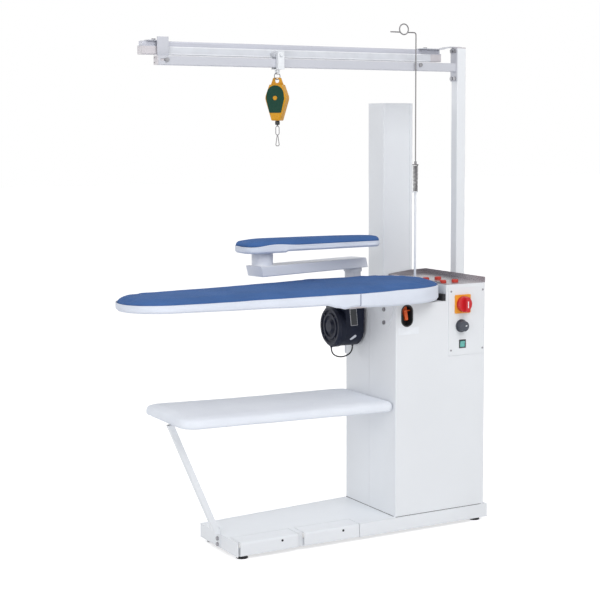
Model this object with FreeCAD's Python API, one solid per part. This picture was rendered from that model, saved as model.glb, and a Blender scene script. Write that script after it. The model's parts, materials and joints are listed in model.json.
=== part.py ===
import FreeCAD, Part
import math
import os
from FreeCAD import Vector

os.makedirs("parts", exist_ok=True)

# Sizes in millimetres. X runs right along the base, Y to the back, Z up.
# The feet reach down to FLOOR, which becomes height 0 when the parts are written.

# Fits
RUNNING = 0.08
LOOSE = 0.3
SEAM = 0.8
PAST = 1.0

# Base pan, feet and pedals
BASE_LOW = 22.0
FOOT_HEIGHT = 13.0
FOOT_RADIUS = 20.0
FOOT_TAPER = 3.0
FOOT_INSET = 34.0
FOOT_STUD = 14.0
FOOT_STUD_RADIUS = 4.0
BASE_LENGTH = 1012.0
BASE_DEPTH = 345.0
BASE_DEPTH_LEFT = 289.0
BASE_HEIGHT = 48.0
BASE_SHEET = 3.0
BASE_CORNER = 3.0
PEDAL_START = 12.0
PEDAL_LENGTH = 216.0
PEDAL_PITCH = 240.0
PEDAL_TREAD = 72.0
PEDAL_SHEET = 3.0
PEDAL_BEND = 9.0
PEDAL_LIP_DROP = 46.0
PEDAL_GAP = 2.0
PEDAL_SETBACK = 10.0
PEDAL_CUT = 17.0
PIN_RADIUS = 3.0
PIN_DROP = 10.0
PIN_SETBACK = 6.0
KNUCKLE_RADIUS = 5.5
KNUCKLE_LENGTH = 40.0
LUG_HALF = 8.0
MICRO_WIDTH = 28.0
MICRO_DEPTH = 10.0
MICRO_HEIGHT = 16.0
MICRO_RISE = 6.0

# Cabinet
CABINET_LEFT = 620.0
CABINET_WIDTH = 379.0
CABINET_FRONT = 6.0
CABINET_DEPTH = 339.0
CABINET_TOP = 877.0
CABINET_SHEET = 2.0
CABINET_CORNER = 4.0
STEP_X = 829.0
STEP_TOP = 820.0
SEAM_Y = 182.0

# Controls on the cabinet front, placed from the lower left corner of their panel
PANEL_INSET = 4.0
PANEL_WIDTH = 156.0
PANEL_HEIGHT = 243.0
PANEL_BOTTOM = 623.0
PANEL_SHEET = 2.0
PANEL_CORNER = 3.0
PANEL_WINDOW_SIDE = 18.0
PANEL_WINDOW_LOW = 25.0
PANEL_WINDOW_HIGH = 20.0
PANEL_SCREW_LEFT = 11.0
PANEL_SCREW_RIGHT = 8.0
PANEL_SCREW_LOW = 19.0
PANEL_SCREW_HIGH = 14.0
SWITCH_IN = 59.0
SWITCH_UP = 183.0
SWITCH_PLATE = 66.0
SWITCH_PLATE_THICK = 5.0
SWITCH_BODY = 46.0
SWITCH_BODY_DEPTH = 52.0
SWITCH_STEM = 30.0
KNOB_RADIUS = 28.0
KNOB_DISC = 17.0
KNOB_GRIP = 15.0
KNOB_GRIP_HALF = 8.0
KNOB_CHAMFER = 1.5
KNOB_SHAFT = 5.0
SHAFT_ROOM = 1.0
SHAFT_END_ROOM = 6.0
DIAL_IN = 54.0
DIAL_UP = 105.0
DIAL_RADIUS = 23.0
DIAL_DEPTH = 24.0
DIAL_FLANGE = 4.0
DIAL_STEP = 3.0
DIAL_TAPER = 2.0
DIAL_FLUTES = 12
FLUTE_RADIUS = 2.2
POINTER_RISE = 0.6
POINTER_FROM = 4.0
POINTER_TO = 15.0
DIAL_BODY_RADIUS = 18.0
DIAL_BODY_DEPTH = 34.0
DIAL_STEM = 20.0
ROCKER_IN = 60.0
ROCKER_UP = 40.0
ROCKER_WIDTH = 20.0
ROCKER_HEIGHT = 22.0
ROCKER_TILT = 6.0
ROCKER_BORDER = 2.5
ROCKER_LIP = 1.5
ROCKER_LIP_THICK = 2.0
ROCKER_CASE_DEPTH = 28.0
ROCKER_WELL_DEPTH = 12.0
ROCKER_PIVOT = 3.0
ROCKER_PIN = 1.5
ROCKER_RISE = 6.0
ROCKER_DISH = 2.0
ROCKER_BACK = 4.0
SELECTOR_IN = 45.5
SELECTOR_BOTTOM = 741.0
SELECTOR_HEIGHT = 74.0
SELECTOR_WIDTH = 45.0
SELECTOR_DEPTH = 34.0
SELECTOR_WALL = 2.0
SELECTOR_LIP = 2.0
SELECTOR_LIP_THICK = 1.2
LEVER_TOP_WIDTH = 18.0
LEVER_END_WIDTH = 11.0
LEVER_ABOVE = 14.0
LEVER_BELOW = 34.0
LEVER_THICK = 9.0
LEVER_CORNER = 3.0
LEVER_LEAN = 19.0
LEVER_HUB = 6.5
LEVER_PIN = 2.5
LEVER_PIN_DEPTH = 16.0
LEVER_PIN_DROP = 21.0

# Motor and fan, on an axis along X
AXIS_Y = 268.0
AXIS_Z = 721.0
MOTOR_LENGTH = 114.0
MOTOR_RADIUS = 72.0
MOTOR_RISE = 70.0
MOTOR_NECK = 50.0
MOTOR_NECK_LENGTH = 13.0
MOTOR_BEARING_WALL = 5.0
COVER_DEPTH = 27.0
COVER_RADIUS = 74.0
COVER_CHAMFER = 8.0
COVER_RING = 8.0
COVER_GROOVE = 12.0
COVER_GROOVE_DEPTH = 5.0
COVER_SLOPE = 2.0
COVER_BOSS = 22.0
COVER_BOSS_RISE = 4.0
COVER_SCREWS = 4
COVER_SCREW_RADIUS = 4.0
SHAFT_RADIUS = 7.0
SCROLL_WIDTH = 68.0
SCROLL_RADIUS = 70.0
SCROLL_GROWTH = 8.0
SCROLL_DROP = 120.0
IMPELLER_RADIUS = 57.0
IMPELLER_WIDTH = 44.0
IMPELLER_GAP = 8.0
IMPELLER_PLATE = 3.0
IMPELLER_RING = 2.0
BLADE_THICK = 2.0
BLADES = 12
INLET_RADIUS = 40.0
CABLE_RADIUS = 2.5
CABLE_BOSS = 4.0
CABLE_SPAN = 88.0
CABLE_DROP = 39.0
CABLE_TOP = 645.0
CABLE_INSET = 7.5
CABLE_SHOULDER = 15.0

# Main board
BOARD_TIP = -358.0
BOARD_END = 822.0
BOARD_Y = 108.0
BOARD_HALF = 205.0
BOARD_NOSE = 140.0
BOARD_SHOULDER_X = 430.0
BOARD_SHOULDER = 150.0
BOARD_END_HALF = 190.0
BOARD_END_RADIUS = 185.0
BOARD_EDGE_Z = 882.0
BOARD_CROWN = 14.0
BOARD_CROWN_INSET = 90.0
BOARD_TIP_Z = 857.0
BOARD_LEFT_Z = 847.0
BOARD_RIGHT_Z = 830.0
BOARD_SLOPE_FROM = 290.0
BOARD_SLOPE_TO = 375.0
BOARD_LEAN = 0.5
SKIRT_THICK = 9.0
SKIRT_HEM = 24.0
HEM_THICK = 3.6
PAN_SHEET = 2.0
PLATE_THICK = 2.5
PLATE_SEAT = 8.0
AIR_HOLE = 5.0
AIR_ROWS = 4
AIR_COLUMNS = 8
AIR_PITCH_X = 110.0
AIR_PITCH_Y = 60.0
AIR_FROM_TIP = 186.0
HEATER_RADIUS = 4.0
HEATER_BEND = 25.0
HEATER_RUNS = 4
HEATER_FROM_TIP = 246.0
HEATER_PAST_SHOULDER = 130.0
DUCT_X0 = 700.0
DUCT_X1 = 765.0
DUCT_Y0 = 70.0
DUCT_Y1 = 180.0
DUCT_MARGIN_X = 15.0
DUCT_MARGIN_Y = 10.0
GASKET_BORDER = 10.0
BUFFER_WIDTH = 12.0
BUFFER_DEPTH = 37.0
BUFFER_HEIGHT = 24.0
BUFFER_IN = 3.0
BRANCH_Z = 632.0
BRANCH_RADIUS = 16.0
BRANCH_WALL = 2.0
BRANCH_BACK = 30.0
BRANCH_IN = 45.0
BRACKET_SHEET = 3.0
BRACKET_FRONT = 23.0
BRACKET_BACK = 155.0
BRACKET_FOOT_FRONT = 51.0
BRACKET_FOOT_BACK = 110.0
BRACKET_LOW = 735.0
BRACKET_KNEE = 793.0
BRACKET_LEDGE = 60.0
BRACKET_BOLT_Y = 77.0
BRACKET_BOLT_HIGH = 796.0
BRACKET_BOLT_LOW = 750.0

# Shelf and strut
SHELF_TIP = -183.0
SHELF_FRONT = 10.0
SHELF_BACK = 343.0
SHELF_TOP = 474.0
SHELF_THICK = 32.0
SHELF_BOARD = 18.0
SHELF_BOARD_INSET = 8.0
SHELF_BOARD_UP = 4.0
SHELF_TILT = 1.2
SHELF_CORNER = 60.0
SHELF_BACK_CORNER = 25.0
STRUT_SIDE = 20.0
STRUT_WALL = 1.5
STRUT_Y = 141.0
STRUT_TOP_X = -166.0
STRUT_FOOT_X = -6.0
STRUT_PLATE = 3.0
STRUT_PLATE_HALF = 14.0
STRUT_PLATE_LOW = 25.0
STRUT_PLATE_RISE = 22.0
STRUT_BOLT_LOW = 33.0
STRUT_BOLT_HIGH = 53.0

# Chimney
CHIMNEY_LEFT = 809.0
CHIMNEY_WIDTH = 129.0
CHIMNEY_FRONT = 388.0
CHIMNEY_DEPTH = 108.0
CHIMNEY_BOTTOM = 640.0
CHIMNEY_TOP = 1520.0
CHIMNEY_SHEET = 2.0
CHIMNEY_CORNER = 3.0
CHIMNEY_RETURN = 13.0
CHIMNEY_SILL = 10.0
NECK_WIDTH = 95.0
NECK_BOTTOM = 690.0
NECK_HEIGHT = 100.0

# Swing arm and sleeve board
PIVOT_X = 669.0
SADDLE = 3.0
SADDLE_HALF = 42.0
SADDLE_CORNER = 6.0
SADDLE_NECK_HALF = 18.0
SADDLE_TOP_GAP = 5.0
SADDLE_BOLT_SIDE = 33.0
SADDLE_BOLT_LOW = 660.0
SADDLE_BOLT_HIGH = 850.0
SOCKET_RADIUS = 30.0
SOCKET_COLLAR = 4.0
SOCKET_COLLAR_HEIGHT = 14.0
SOCKET_FLOOR = 6.0
SPIGOT_RADIUS = 27.0
SPIGOT_WALL = 3.0
SOCKET_BOTTOM = 600.0
SPIGOT_BOTTOM = 740.0
ARM_BOTTOM = 917.0
ARM_HEIGHT = 37.0
ARM_WIDTH = 80.0
ARM_REACH = 445.0
ARM_LEFT = 476.0
ARM_RIGHT = 40.0
ARM_SLANT = 10.0
ARM_SHEET = 2.0
ARM_CORNER = 4.0
ARM_ANGLE = 14.2
SWIVEL_RADIUS = 37.5
SWIVEL_HEIGHT = 46.0
SWIVEL_AIR = 24.0
SLEEVE_SPIGOT = 30.0
SLEEVE_FLANGE = 5.0
SLEEVE_SPIGOT_UP = 2.0
SLEEVE_TIP = 150.0
SLEEVE_END = 708.0
SLEEVE_HALF = 67.0
SLEEVE_CORNER = 45.0
SLEEVE_END_RADIUS = 43.0
SLEEVE_SKIRT_Z = 1003.0
SLEEVE_EDGE_Z = 1027.0
SLEEVE_CROWN = 15.0
SLEEVE_CROWN_INSET = 34.0
SLEEVE_SKIRT_THICK = 7.0
SLEEVE_HEM = 12.0
SLEEVE_SEAT = 5.0

# Iron rest
REST_LEFT = 831.0
REST_BACK = 386.0
REST_SHEET = 2.0
REST_RIM = 20.0
REST_SIDE_RIM = 7.0
REST_SIDE_FROM = 40.0
REST_TAPER = 100.0
REST_TAPER_DROP = 2.0
STUD_RADIUS = 12.0
STUD_HEIGHT = 10.0
STUD_ROUND = 3.0
STUD_X = 848.0
STUD_Y = 53.0
STUD_STEP_X = 52.0
STUD_STEP_Y = 108.0

# Post, boom and lamp
POST_SIDE = 38.0
POST_CORNER = 3.0
POST_Y = 206.0
POST_BOTTOM = 480.0
POST_TOP = 1716.0
POST_BOLT_LOW = 560.0
POST_BOLT_HIGH = 820.0
CAP_THICK = 4.0
CAP_PLUG = 12.0
CAP_RELIEF = 12.0
END_PLUG = 23.0
BOOM_SIDE = 30.0
BOOM_WALL = 2.0
BOOM_CORNER = 2.5
BOOM_LEFT = -177.0
BOOM_Z = 1647.0
BOOM_PLATE = 4.0
BOOM_PLATE_Z0 = 1597.0
BOOM_PLATE_Z1 = 1716.0
BOOM_PLATE_BOLT_SIDE = 10.5
BOOM_PLATE_BOLT_IN = 10.0
BOOM_BOLT_X = 840.0
BOOM_BOLT_UP = 6.0
SLOT_FROM_END = 7.0
SLOT_LENGTH = 32.0
SLOT_HEIGHT = 7.0
SLOT_UP = 2.0
SLOT_BOLT_IN = 30.0
LAMP_LEFT = -217.0
LAMP_RIGHT = 956.0
LAMP_FRONT = 230.0
LAMP_WIDTH = 40.0
LAMP_BOTTOM = 1667.0
LAMP_LENS = 27.0
LAMP_HEIGHT = 44.0
LAMP_STEP = 5.0
LAMP_WALL = 2.0
LAMP_ROUND = 4.0
LAMP_LEDGE = 2.0
LAMP_HOUSING_IN = 3.0
LAMP_HOUSING_ROUND = 3.0
LAMP_END_LEFT = 66.0
LAMP_END_RIGHT = 46.0
LAMP_STRIP_HALF = 8.0
LAMP_STRIP_THICK = 5.0
LAMP_STRIP_IN = 20.0
LAMP_BOLT_LEFT = 46.0
LAMP_BOLT_RIGHT = 61.0
LAMP_BOLT_FRONT = 7.0
STRAP = 3.0
STRAP_HALF = 20.0
STRAP_LOW = 13.0
STRAP_RISE = 14.0
STRAP_FOOT = 27.0
STRAP_FOOT_BACK = 10.0
BRIDGE_LENGTH = 95.0
BRIDGE_BEND = 5.0
BRIDGE_TO_POST = 15.0
BRIDGE_END = 4.0
BRIDGE_FRONT = 2.0
BRIDGE_BACK = 6.0

# Trolley and balancer
TROLLEY_X = 266.0
TROLLEY_WIDTH = 24.0
TROLLEY_SHEET = 3.0
TROLLEY_CHEEK = 11.0
TROLLEY_CHEEK_SHEET = 2.0
TROLLEY_CHEEK_DROP = 8.0
TROLLEY_GAP = 1.0
TROLLEY_UNDER = 4.0
TROLLEY_CROWN = 10.0
ROLLER_RADIUS = 13.0
ROLLER_WIDTH = 24.0
AXLE_RADIUS = 4.0
AXLE_NUT = 6.5
AXLE_NUT_HEIGHT = 5.0
RING_RADIUS = 11.0
RING_WIRE = 1.4
LUG_HOLE = 8.0
LUG_THICK = 5.0
LUG_RING_PLAY = 2.4
LUG_OVER_HOLE = 2.5
CLIP_Z = 1619.0
CLIP_HALF = 12.0
CLIP_BELOW = 11.0
CLIP_ROUND = 8.0
CLIP_HOLE = 6.5
CASE_TURN = -50.0
CASE_HEIGHT = 146.0
CASE_RADIUS = 37.5
CASE_SIDE_RADIUS = 30.0
CASE_HUB_DOWN = 0.475
CASE_THICK = 40.0
CASE_ROUND = 5.0
CASE_BEVEL = 1.5
CASE_BEVEL_INSET = 1.2
CASE_FACE_INSET = 4.0
CASE_TOP_HALF = 15.0
CASE_END_HALF = 16.5
CASE_CORNER = 4.5
LUG_HEIGHT = 24.0
HUB_RADIUS = 6.0
HUB_RISE = 2.0
HUB_TAPER = 1.5
DRUM_RADIUS = 26.0
DRUM_WIDTH = 22.0
DRUM_ROOM = 5.0
DRUM_SIDE_ROOM = 2.0
DRUM_PIN = 5.0
DRUM_PIN_END = 2.0
DRUM_GROOVE = 3.0
CORD_RADIUS = 1.0
CORD_ROOM = 2.0
STOPPER_RADIUS = 8.0
STOPPER_HEIGHT = 14.0
STOPPER_ROUND = 3.0
LINK_HALF = 6.5
LINK_HEIGHT = 30.0
LINK_NECK = 2.6
LINK_GAP = 4.0
HOOK_HEIGHT = 33.0
HOOK_HALF = 6.5
HOOK_NECK = 1.8
HOOK_WIRE = 1.3
HOOK_KNEE = 4.0
HOOK_TOE = 2.0

# Cable guide
GUIDE_X = 815.0
GUIDE_Y = 183.0
GUIDE_MAST = 4.5
GUIDE_LIFT = 2.0
GUIDE_ROD = 2.2
GUIDE_DISC = 11.0
GUIDE_DISC_THICK = 4.0
GUIDE_SLEEVE = 14.0
GUIDE_CLIP_HALF = 7.0
GUIDE_CLIP_HEIGHT = 10.0
GUIDE_CLIP_IN = 6.0
SPRING_BOTTOM = 1200.0
SPRING_TOP = 1294.0
SPRING_RADIUS = 8.75
SPRING_WIRE = 2.5
SPRING_TURNS = 20
SPRING_END = 5.0
SPRING_END_ANGLE = 0.6
GUIDE_TOP = 1766.0
GUIDE_BEND = 8.0
GUIDE_RING = 18.5
GUIDE_RING_IN = 51.0
GUIDE_RING_UP = 10.5
GUIDE_TAIL = 106.0

# Fasteners
BOLT_RADIUS = 4.0
BOLT_HEAD = 7.0
BOLT_HEAD_HEIGHT = 5.0
BOLT_PLAY = 0.3
BOLT_LENGTH = 12.0
SCREW_RADIUS = 2.0
SCREW_HEAD = 3.6
SCREW_HEAD_HEIGHT = 2.4
SCREW_LENGTH = 8.0
SCREW_TAPER = 1.0

# Derived sizes and places
FLOOR = BASE_LOW - FOOT_HEIGHT
BASE_TOP = BASE_LOW + BASE_HEIGHT
BASE_UNDER = BASE_TOP - BASE_SHEET
BACK_FOOT_Y = BASE_DEPTH_LEFT - FOOT_INSET + BASE_SHEET
PIN_Y = PEDAL_TREAD - PIN_SETBACK
PIN_Z = BASE_TOP - PIN_DROP
CABINET_RIGHT = CABINET_LEFT + CABINET_WIDTH
CABINET_BACK = CABINET_FRONT + CABINET_DEPTH
PANEL_RIGHT = CABINET_RIGHT - PANEL_INSET
PANEL_LEFT = PANEL_RIGHT - PANEL_WIDTH
PANEL_TOP = PANEL_BOTTOM + PANEL_HEIGHT
PANEL_FACE = CABINET_FRONT - PANEL_SHEET
SWITCH_X = PANEL_LEFT + SWITCH_IN
SWITCH_Z = PANEL_BOTTOM + SWITCH_UP
DIAL_X = PANEL_LEFT + DIAL_IN
DIAL_Z = PANEL_BOTTOM + DIAL_UP
ROCKER_X = PANEL_LEFT + ROCKER_IN
ROCKER_Z = PANEL_BOTTOM + ROCKER_UP
SELECTOR_X = CABINET_LEFT + SELECTOR_IN
MOTOR_BACK = CABINET_LEFT - MOTOR_LENGTH
MOTOR_JOINT = MOTOR_BACK + COVER_DEPTH
POST_RIGHT = CABINET_RIGHT + POST_SIDE
PLATE_FACE = CABINET_RIGHT - BOOM_PLATE
CHIMNEY_RIGHT = CHIMNEY_LEFT + CHIMNEY_WIDTH
CHIMNEY_BACK = CHIMNEY_FRONT + CHIMNEY_DEPTH
NECK_X = CHIMNEY_LEFT + (CHIMNEY_WIDTH - NECK_WIDTH) / 2
PAN_INSET = SKIRT_THICK + LOOSE
PAN_RISE = HEM_THICK + LOOSE
BOARD_SEAT = BOARD_RIGHT_Z + PAN_RISE
PLATE_Z = BOARD_EDGE_Z - PLATE_SEAT
PIVOT_Y = CABINET_BACK + SADDLE + SOCKET_RADIUS
ARM_TOP = ARM_BOTTOM + ARM_HEIGHT
SWIVEL_TOP = ARM_TOP + SWIVEL_HEIGHT
SLEEVE_X = PIVOT_X - ARM_REACH * math.cos(math.radians(ARM_ANGLE))
SLEEVE_Y = PIVOT_Y - ARM_REACH * math.sin(math.radians(ARM_ANGLE))
BOOM_FRONT = POST_Y - BOOM_SIDE / 2
BOOM_BACK = POST_Y + BOOM_SIDE / 2
BOOM_LOW = BOOM_Z - BOOM_SIDE / 2
BOOM_HIGH = BOOM_Z + BOOM_SIDE / 2
SLOT_Z = BOOM_Z + SLOT_UP
SLOT_BOLT_X = BOOM_LEFT + SLOT_BOLT_IN
LAMP_TOP = LAMP_BOTTOM + LAMP_HEIGHT
LAMP_LENS_TOP = LAMP_BOTTOM + LAMP_LENS
LAMP_BACK = LAMP_FRONT + LAMP_WIDTH
LAMP_Y = LAMP_FRONT + LAMP_WIDTH / 2
LENS_LEFT = LAMP_LEFT + LAMP_END_LEFT
LENS_RIGHT = LAMP_RIGHT - LAMP_END_RIGHT
LAMP_BOLT_X = LAMP_LEFT + LAMP_BOLT_LEFT
AXLE_Z = BOOM_HIGH + LOOSE + ROLLER_RADIUS
RING_Z = CLIP_Z - CLIP_HOLE + RING_WIRE + LOOSE - RING_RADIUS
LUG_Z = RING_Z - RING_RADIUS - LUG_HOLE + LUG_RING_PLAY + RING_WIRE
CASE_TOP = LUG_Z + LUG_HOLE + LUG_OVER_HOLE
CASE_LOW = CASE_TOP - CASE_HEIGHT
CASE_HUB_Z = CASE_TOP - CASE_HUB_DOWN * CASE_HEIGHT
ORIGIN_X = (BOARD_TIP + POST_RIGHT) / 2
ORIGIN_Y = (BOARD_Y - BOARD_HALF + CHIMNEY_BACK) / 2

PARTS = {}


def box(x0, x1, y0, y1, z0, z1):
    return Part.makeBox(x1 - x0, y1 - y0, z1 - z0, Vector(x0, y0, z0))


def rod(start, end, radius):
    run = Vector(*end) - Vector(*start)
    return Part.makeCylinder(radius, run.Length, Vector(*start), run)


def tube(start, end, outer, inner):
    return rod(start, end, outer).cut(rod(start, end, inner))


def cone(start, end, radius0, radius1):
    run = Vector(*end) - Vector(*start)
    return Part.makeCone(radius0, radius1, run.Length, Vector(*start), run)


def fuse(shapes):
    return shapes[0].multiFuse(shapes[1:]).removeSplitter()


def group(shapes):
    return Part.makeCompound(shapes)


def polygon_face(points):
    return Part.Face(Part.makePolygon([Vector(*p) for p in points + points[:1]]))


def plan(points, z0, z1):
    return polygon_face([(x, y, z0) for x, y in points]).extrude(Vector(0, 0, z1 - z0))


def front_view(points, y0, y1):
    return polygon_face([(x, y0, z) for x, z in points]).extrude(Vector(0, y1 - y0, 0))


def side_view(points, x0, x1):
    return polygon_face([(x0, y, z) for y, z in points]).extrude(Vector(x1 - x0, 0, 0))


def edges_along(shape, direction, keep=None):
    found = []
    for edge in shape.Edges:
        run = edge.Vertexes[-1].Point - edge.Vertexes[0].Point
        straight = run.Length > 1e-6 and run.cross(direction).Length < 1e-6 * run.Length
        if straight and (keep is None or keep(edge.CenterOfMass)):
            found.append(edge)
    return found


def rounded(shape, radius, direction, keep=None):
    return shape.makeFillet(radius, edges_along(shape, direction, keep))


def hull_wire(circles, inset, z):
    # outline round a ring of circles, all drawn in by the inset
    tangents = []
    for index, (x0, y0, r0) in enumerate(circles):
        x1, y1, r1 = circles[(index + 1) % len(circles)]
        span = math.hypot(x1 - x0, y1 - y0)
        ux = (x1 - x0) / span
        uy = (y1 - y0) / span
        along = (r0 - r1) / span
        across = math.sqrt(1 - along * along)
        tangents.append(math.atan2(uy * along - ux * across, ux * along + uy * across))
    edges = []
    for index, (x, y, r) in enumerate(circles):
        start = tangents[index - 1]
        sweep = (tangents[index] - start) % (2 * math.pi)
        turns = [start + sweep * part / 4 for part in range(5)]
        ends = [Vector(x + (r - inset) * math.cos(a), y + (r - inset) * math.sin(a), z) for a in turns]
        edges.append(Part.Arc(ends[0], ends[1], ends[2]).toShape())
        edges.append(Part.Arc(ends[2], ends[3], ends[4]).toShape())
        x1, y1, r1 = circles[(index + 1) % len(circles)]
        a = tangents[index]
        meet = Vector(x1 + (r1 - inset) * math.cos(a), y1 + (r1 - inset) * math.sin(a), z)
        edges.append(Part.LineSegment(ends[4], meet).toShape())
    return Part.Wire(edges)


def hull_prism(circles, inset, z0, z1):
    return Part.Face(hull_wire(circles, inset, z0)).extrude(Vector(0, 0, z1 - z0))


def hull_loft(circles, levels, ruled=False):
    return Part.makeLoft([hull_wire(circles, inset, z) for inset, z in levels], True, ruled)


def arc_between(start, direction, end):
    # arc that leaves start along the direction and reaches the end
    chord = end - start
    unit = Vector(chord).normalize()
    side = direction - unit * direction.dot(unit)
    if side.Length < 1e-9:
        return Part.LineSegment(start, end).toShape()
    half = math.atan2(side.Length, direction.dot(unit))
    middle = (start + end) * 0.5 + side.normalize() * (chord.Length / 2 * math.tan(half / 2))
    return Part.Arc(start, middle, end).toShape()


def biarc(start, direction0, end, direction1):
    chord = end - start
    total = direction0 + direction1
    bend = 2 * (1 - direction0.dot(direction1))
    reach = -chord.dot(total) + math.sqrt(chord.dot(total) ** 2 + bend * chord.dot(chord))
    reach = reach / bend
    joint = (start + end + (direction0 - direction1) * reach) * 0.5
    first = arc_between(start, direction0, joint)
    last = arc_between(end, direction1 * -1, joint)
    return [first, last]


def sweep(edges, start, direction, radius):
    profile = Part.Wire([Part.makeCircle(radius, start, direction)])
    return Part.Wire(edges).makePipeShell([profile], True, False)


def cord_route(points):
    # straight runs joined by tangent arcs; returns the edges and the bend radii
    corners = [Vector(*p) for p in points]
    edges = []
    radii = []
    here = corners[0]
    for before, corner, after in zip(corners, corners[1:], corners[2:]):
        into = Vector(corner - before)
        out = Vector(after - corner)
        setback = 0.45 * min(into.Length, out.Length)
        into.normalize()
        out.normalize()
        turn = math.acos(max(-1.0, min(1.0, into.dot(out))))
        radii.append(setback / math.tan(turn / 2))
        leave = corner - into * setback
        arrive = corner + out * setback
        edges.append(Part.LineSegment(here, leave).toShape())
        edges.append(arc_between(leave, into, arrive))
        here = arrive
    edges.append(Part.LineSegment(here, corners[-1]).toShape())
    return edges, radii


def wire_frame(points, radius):
    pieces = []
    for start, end in zip(points, points[1:]):
        pieces.append(rod(start, end, radius))
        pieces.append(Part.makeSphere(radius, Vector(*end)))
    pieces.append(Part.makeSphere(radius, Vector(*points[0])))
    return fuse(pieces)


def bolt(seat, outward, length):
    # head outside the seat, shank running inwards
    seat = Vector(*seat)
    outward = Vector(*outward)
    head = Part.makeCylinder(BOLT_HEAD, BOLT_HEAD_HEIGHT, seat, outward)
    shank = Part.makeCylinder(BOLT_RADIUS, length, seat, outward * -1)
    return head.fuse(shank)


def bolt_hole(seat, outward, length):
    return Part.makeCylinder(BOLT_RADIUS + BOLT_PLAY, length + 1, Vector(*seat), Vector(*outward) * -1)


def put(name, shape):
    moved = shape.copy()
    moved.translate(Vector(-ORIGIN_X, -ORIGIN_Y, -FLOOR))
    PARTS[name] = moved


# Outlines of the boards and the shelf, as circles with a line drawn round them
BOARD = [
    (BOARD_TIP + BOARD_NOSE, BOARD_Y, BOARD_NOSE),
    (BOARD_SHOULDER_X, BOARD_Y - BOARD_HALF + BOARD_SHOULDER, BOARD_SHOULDER),
    (BOARD_END - BOARD_END_RADIUS, BOARD_Y - BOARD_END_HALF + BOARD_END_RADIUS, BOARD_END_RADIUS),
    (BOARD_END - BOARD_END_RADIUS, BOARD_Y + BOARD_END_HALF - BOARD_END_RADIUS, BOARD_END_RADIUS),
    (BOARD_SHOULDER_X, BOARD_Y + BOARD_HALF - BOARD_SHOULDER, BOARD_SHOULDER),
]
SHELF = [
    (SHELF_TIP + SHELF_CORNER, SHELF_FRONT + SHELF_CORNER, SHELF_CORNER),
    (CABINET_LEFT - SHELF_BACK_CORNER, SHELF_FRONT + SHELF_BACK_CORNER, SHELF_BACK_CORNER),
    (CABINET_LEFT - SHELF_BACK_CORNER, SHELF_BACK - SHELF_BACK_CORNER, SHELF_BACK_CORNER),
    (SHELF_TIP + SHELF_BACK_CORNER, SHELF_BACK - SHELF_BACK_CORNER, SHELF_BACK_CORNER),
]
SLEEVE = [
    (SLEEVE_TIP + SLEEVE_CORNER, SLEEVE_Y - SLEEVE_HALF + SLEEVE_CORNER, SLEEVE_CORNER),
    (SLEEVE_END - SLEEVE_END_RADIUS, SLEEVE_Y, SLEEVE_END_RADIUS),
    (SLEEVE_TIP + SLEEVE_CORNER, SLEEVE_Y + SLEEVE_HALF - SLEEVE_CORNER, SLEEVE_CORNER),
]

# Fastener places: seat point, outward direction, shank length
FEET = [
    (FOOT_INSET, FOOT_INSET),
    (BASE_LENGTH - FOOT_INSET, FOOT_INSET),
    (BASE_LENGTH - FOOT_INSET, BASE_DEPTH - FOOT_INSET),
    (FOOT_INSET, BACK_FOOT_Y),
]
PANEL_SCREWS = [
    (x, z)
    for x in (PANEL_LEFT + PANEL_SCREW_LEFT, PANEL_RIGHT - PANEL_SCREW_RIGHT)
    for z in (PANEL_BOTTOM + PANEL_SCREW_LOW, PANEL_TOP - PANEL_SCREW_HIGH)
]
BRACKET_BOLTS = [
    ((CABINET_LEFT - BRACKET_SHEET, BRACKET_BOLT_Y, z), (-1, 0, 0), BOLT_LENGTH)
    for z in (BRACKET_BOLT_LOW, BRACKET_BOLT_HIGH)
]
STRUT_BOLTS = [
    ((-STRUT_PLATE, STRUT_Y, z), (-1, 0, 0), BOLT_LENGTH) for z in (STRUT_BOLT_LOW, STRUT_BOLT_HIGH)
]
PLATE_BOLTS = [
    ((PLATE_FACE, POST_Y + side * BOOM_PLATE_BOLT_SIDE, z), (-1, 0, 0), BOLT_LENGTH)
    for side in (-1, 1)
    for z in (BOOM_PLATE_Z0 + BOOM_PLATE_BOLT_IN, BOOM_PLATE_Z1 - BOOM_PLATE_BOLT_IN)
]
POST_BOLTS = [
    ((CABINET_RIGHT - CABINET_SHEET, POST_Y, z), (-1, 0, 0), BOLT_LENGTH)
    for z in (POST_BOLT_LOW, POST_BOLT_HIGH)
]
SADDLE_BOLTS = [
    ((PIVOT_X + side * SADDLE_BOLT_SIDE, CABINET_BACK + SADDLE, z), (0, 1, 0), BOLT_LENGTH)
    for side in (-1, 1)
    for z in (SADDLE_BOLT_LOW, SADDLE_BOLT_HIGH)
]
SLOT_BOLTS = [((SLOT_BOLT_X, BOOM_FRONT, SLOT_Z), (0, -1, 0), BOOM_SIDE + STRAP + LAMP_WALL)]
BOOM_BOLTS = [((BOOM_BOLT_X, BOOM_FRONT, BOOM_Z + BOOM_BOLT_UP), (0, -1, 0), BOLT_LENGTH)]
LAMP_BOLTS = [
    ((x, LAMP_Y - LAMP_BOLT_FRONT, LAMP_TOP + STRAP), (0, 0, 1), BOLT_LENGTH)
    for x in (LAMP_BOLT_X, LAMP_RIGHT - LAMP_BOLT_RIGHT)
]


def drilled(shape, bolts):
    for seat, outward, length in bolts:
        shape = shape.cut(bolt_hole(seat, outward, length))
    return shape


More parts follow.
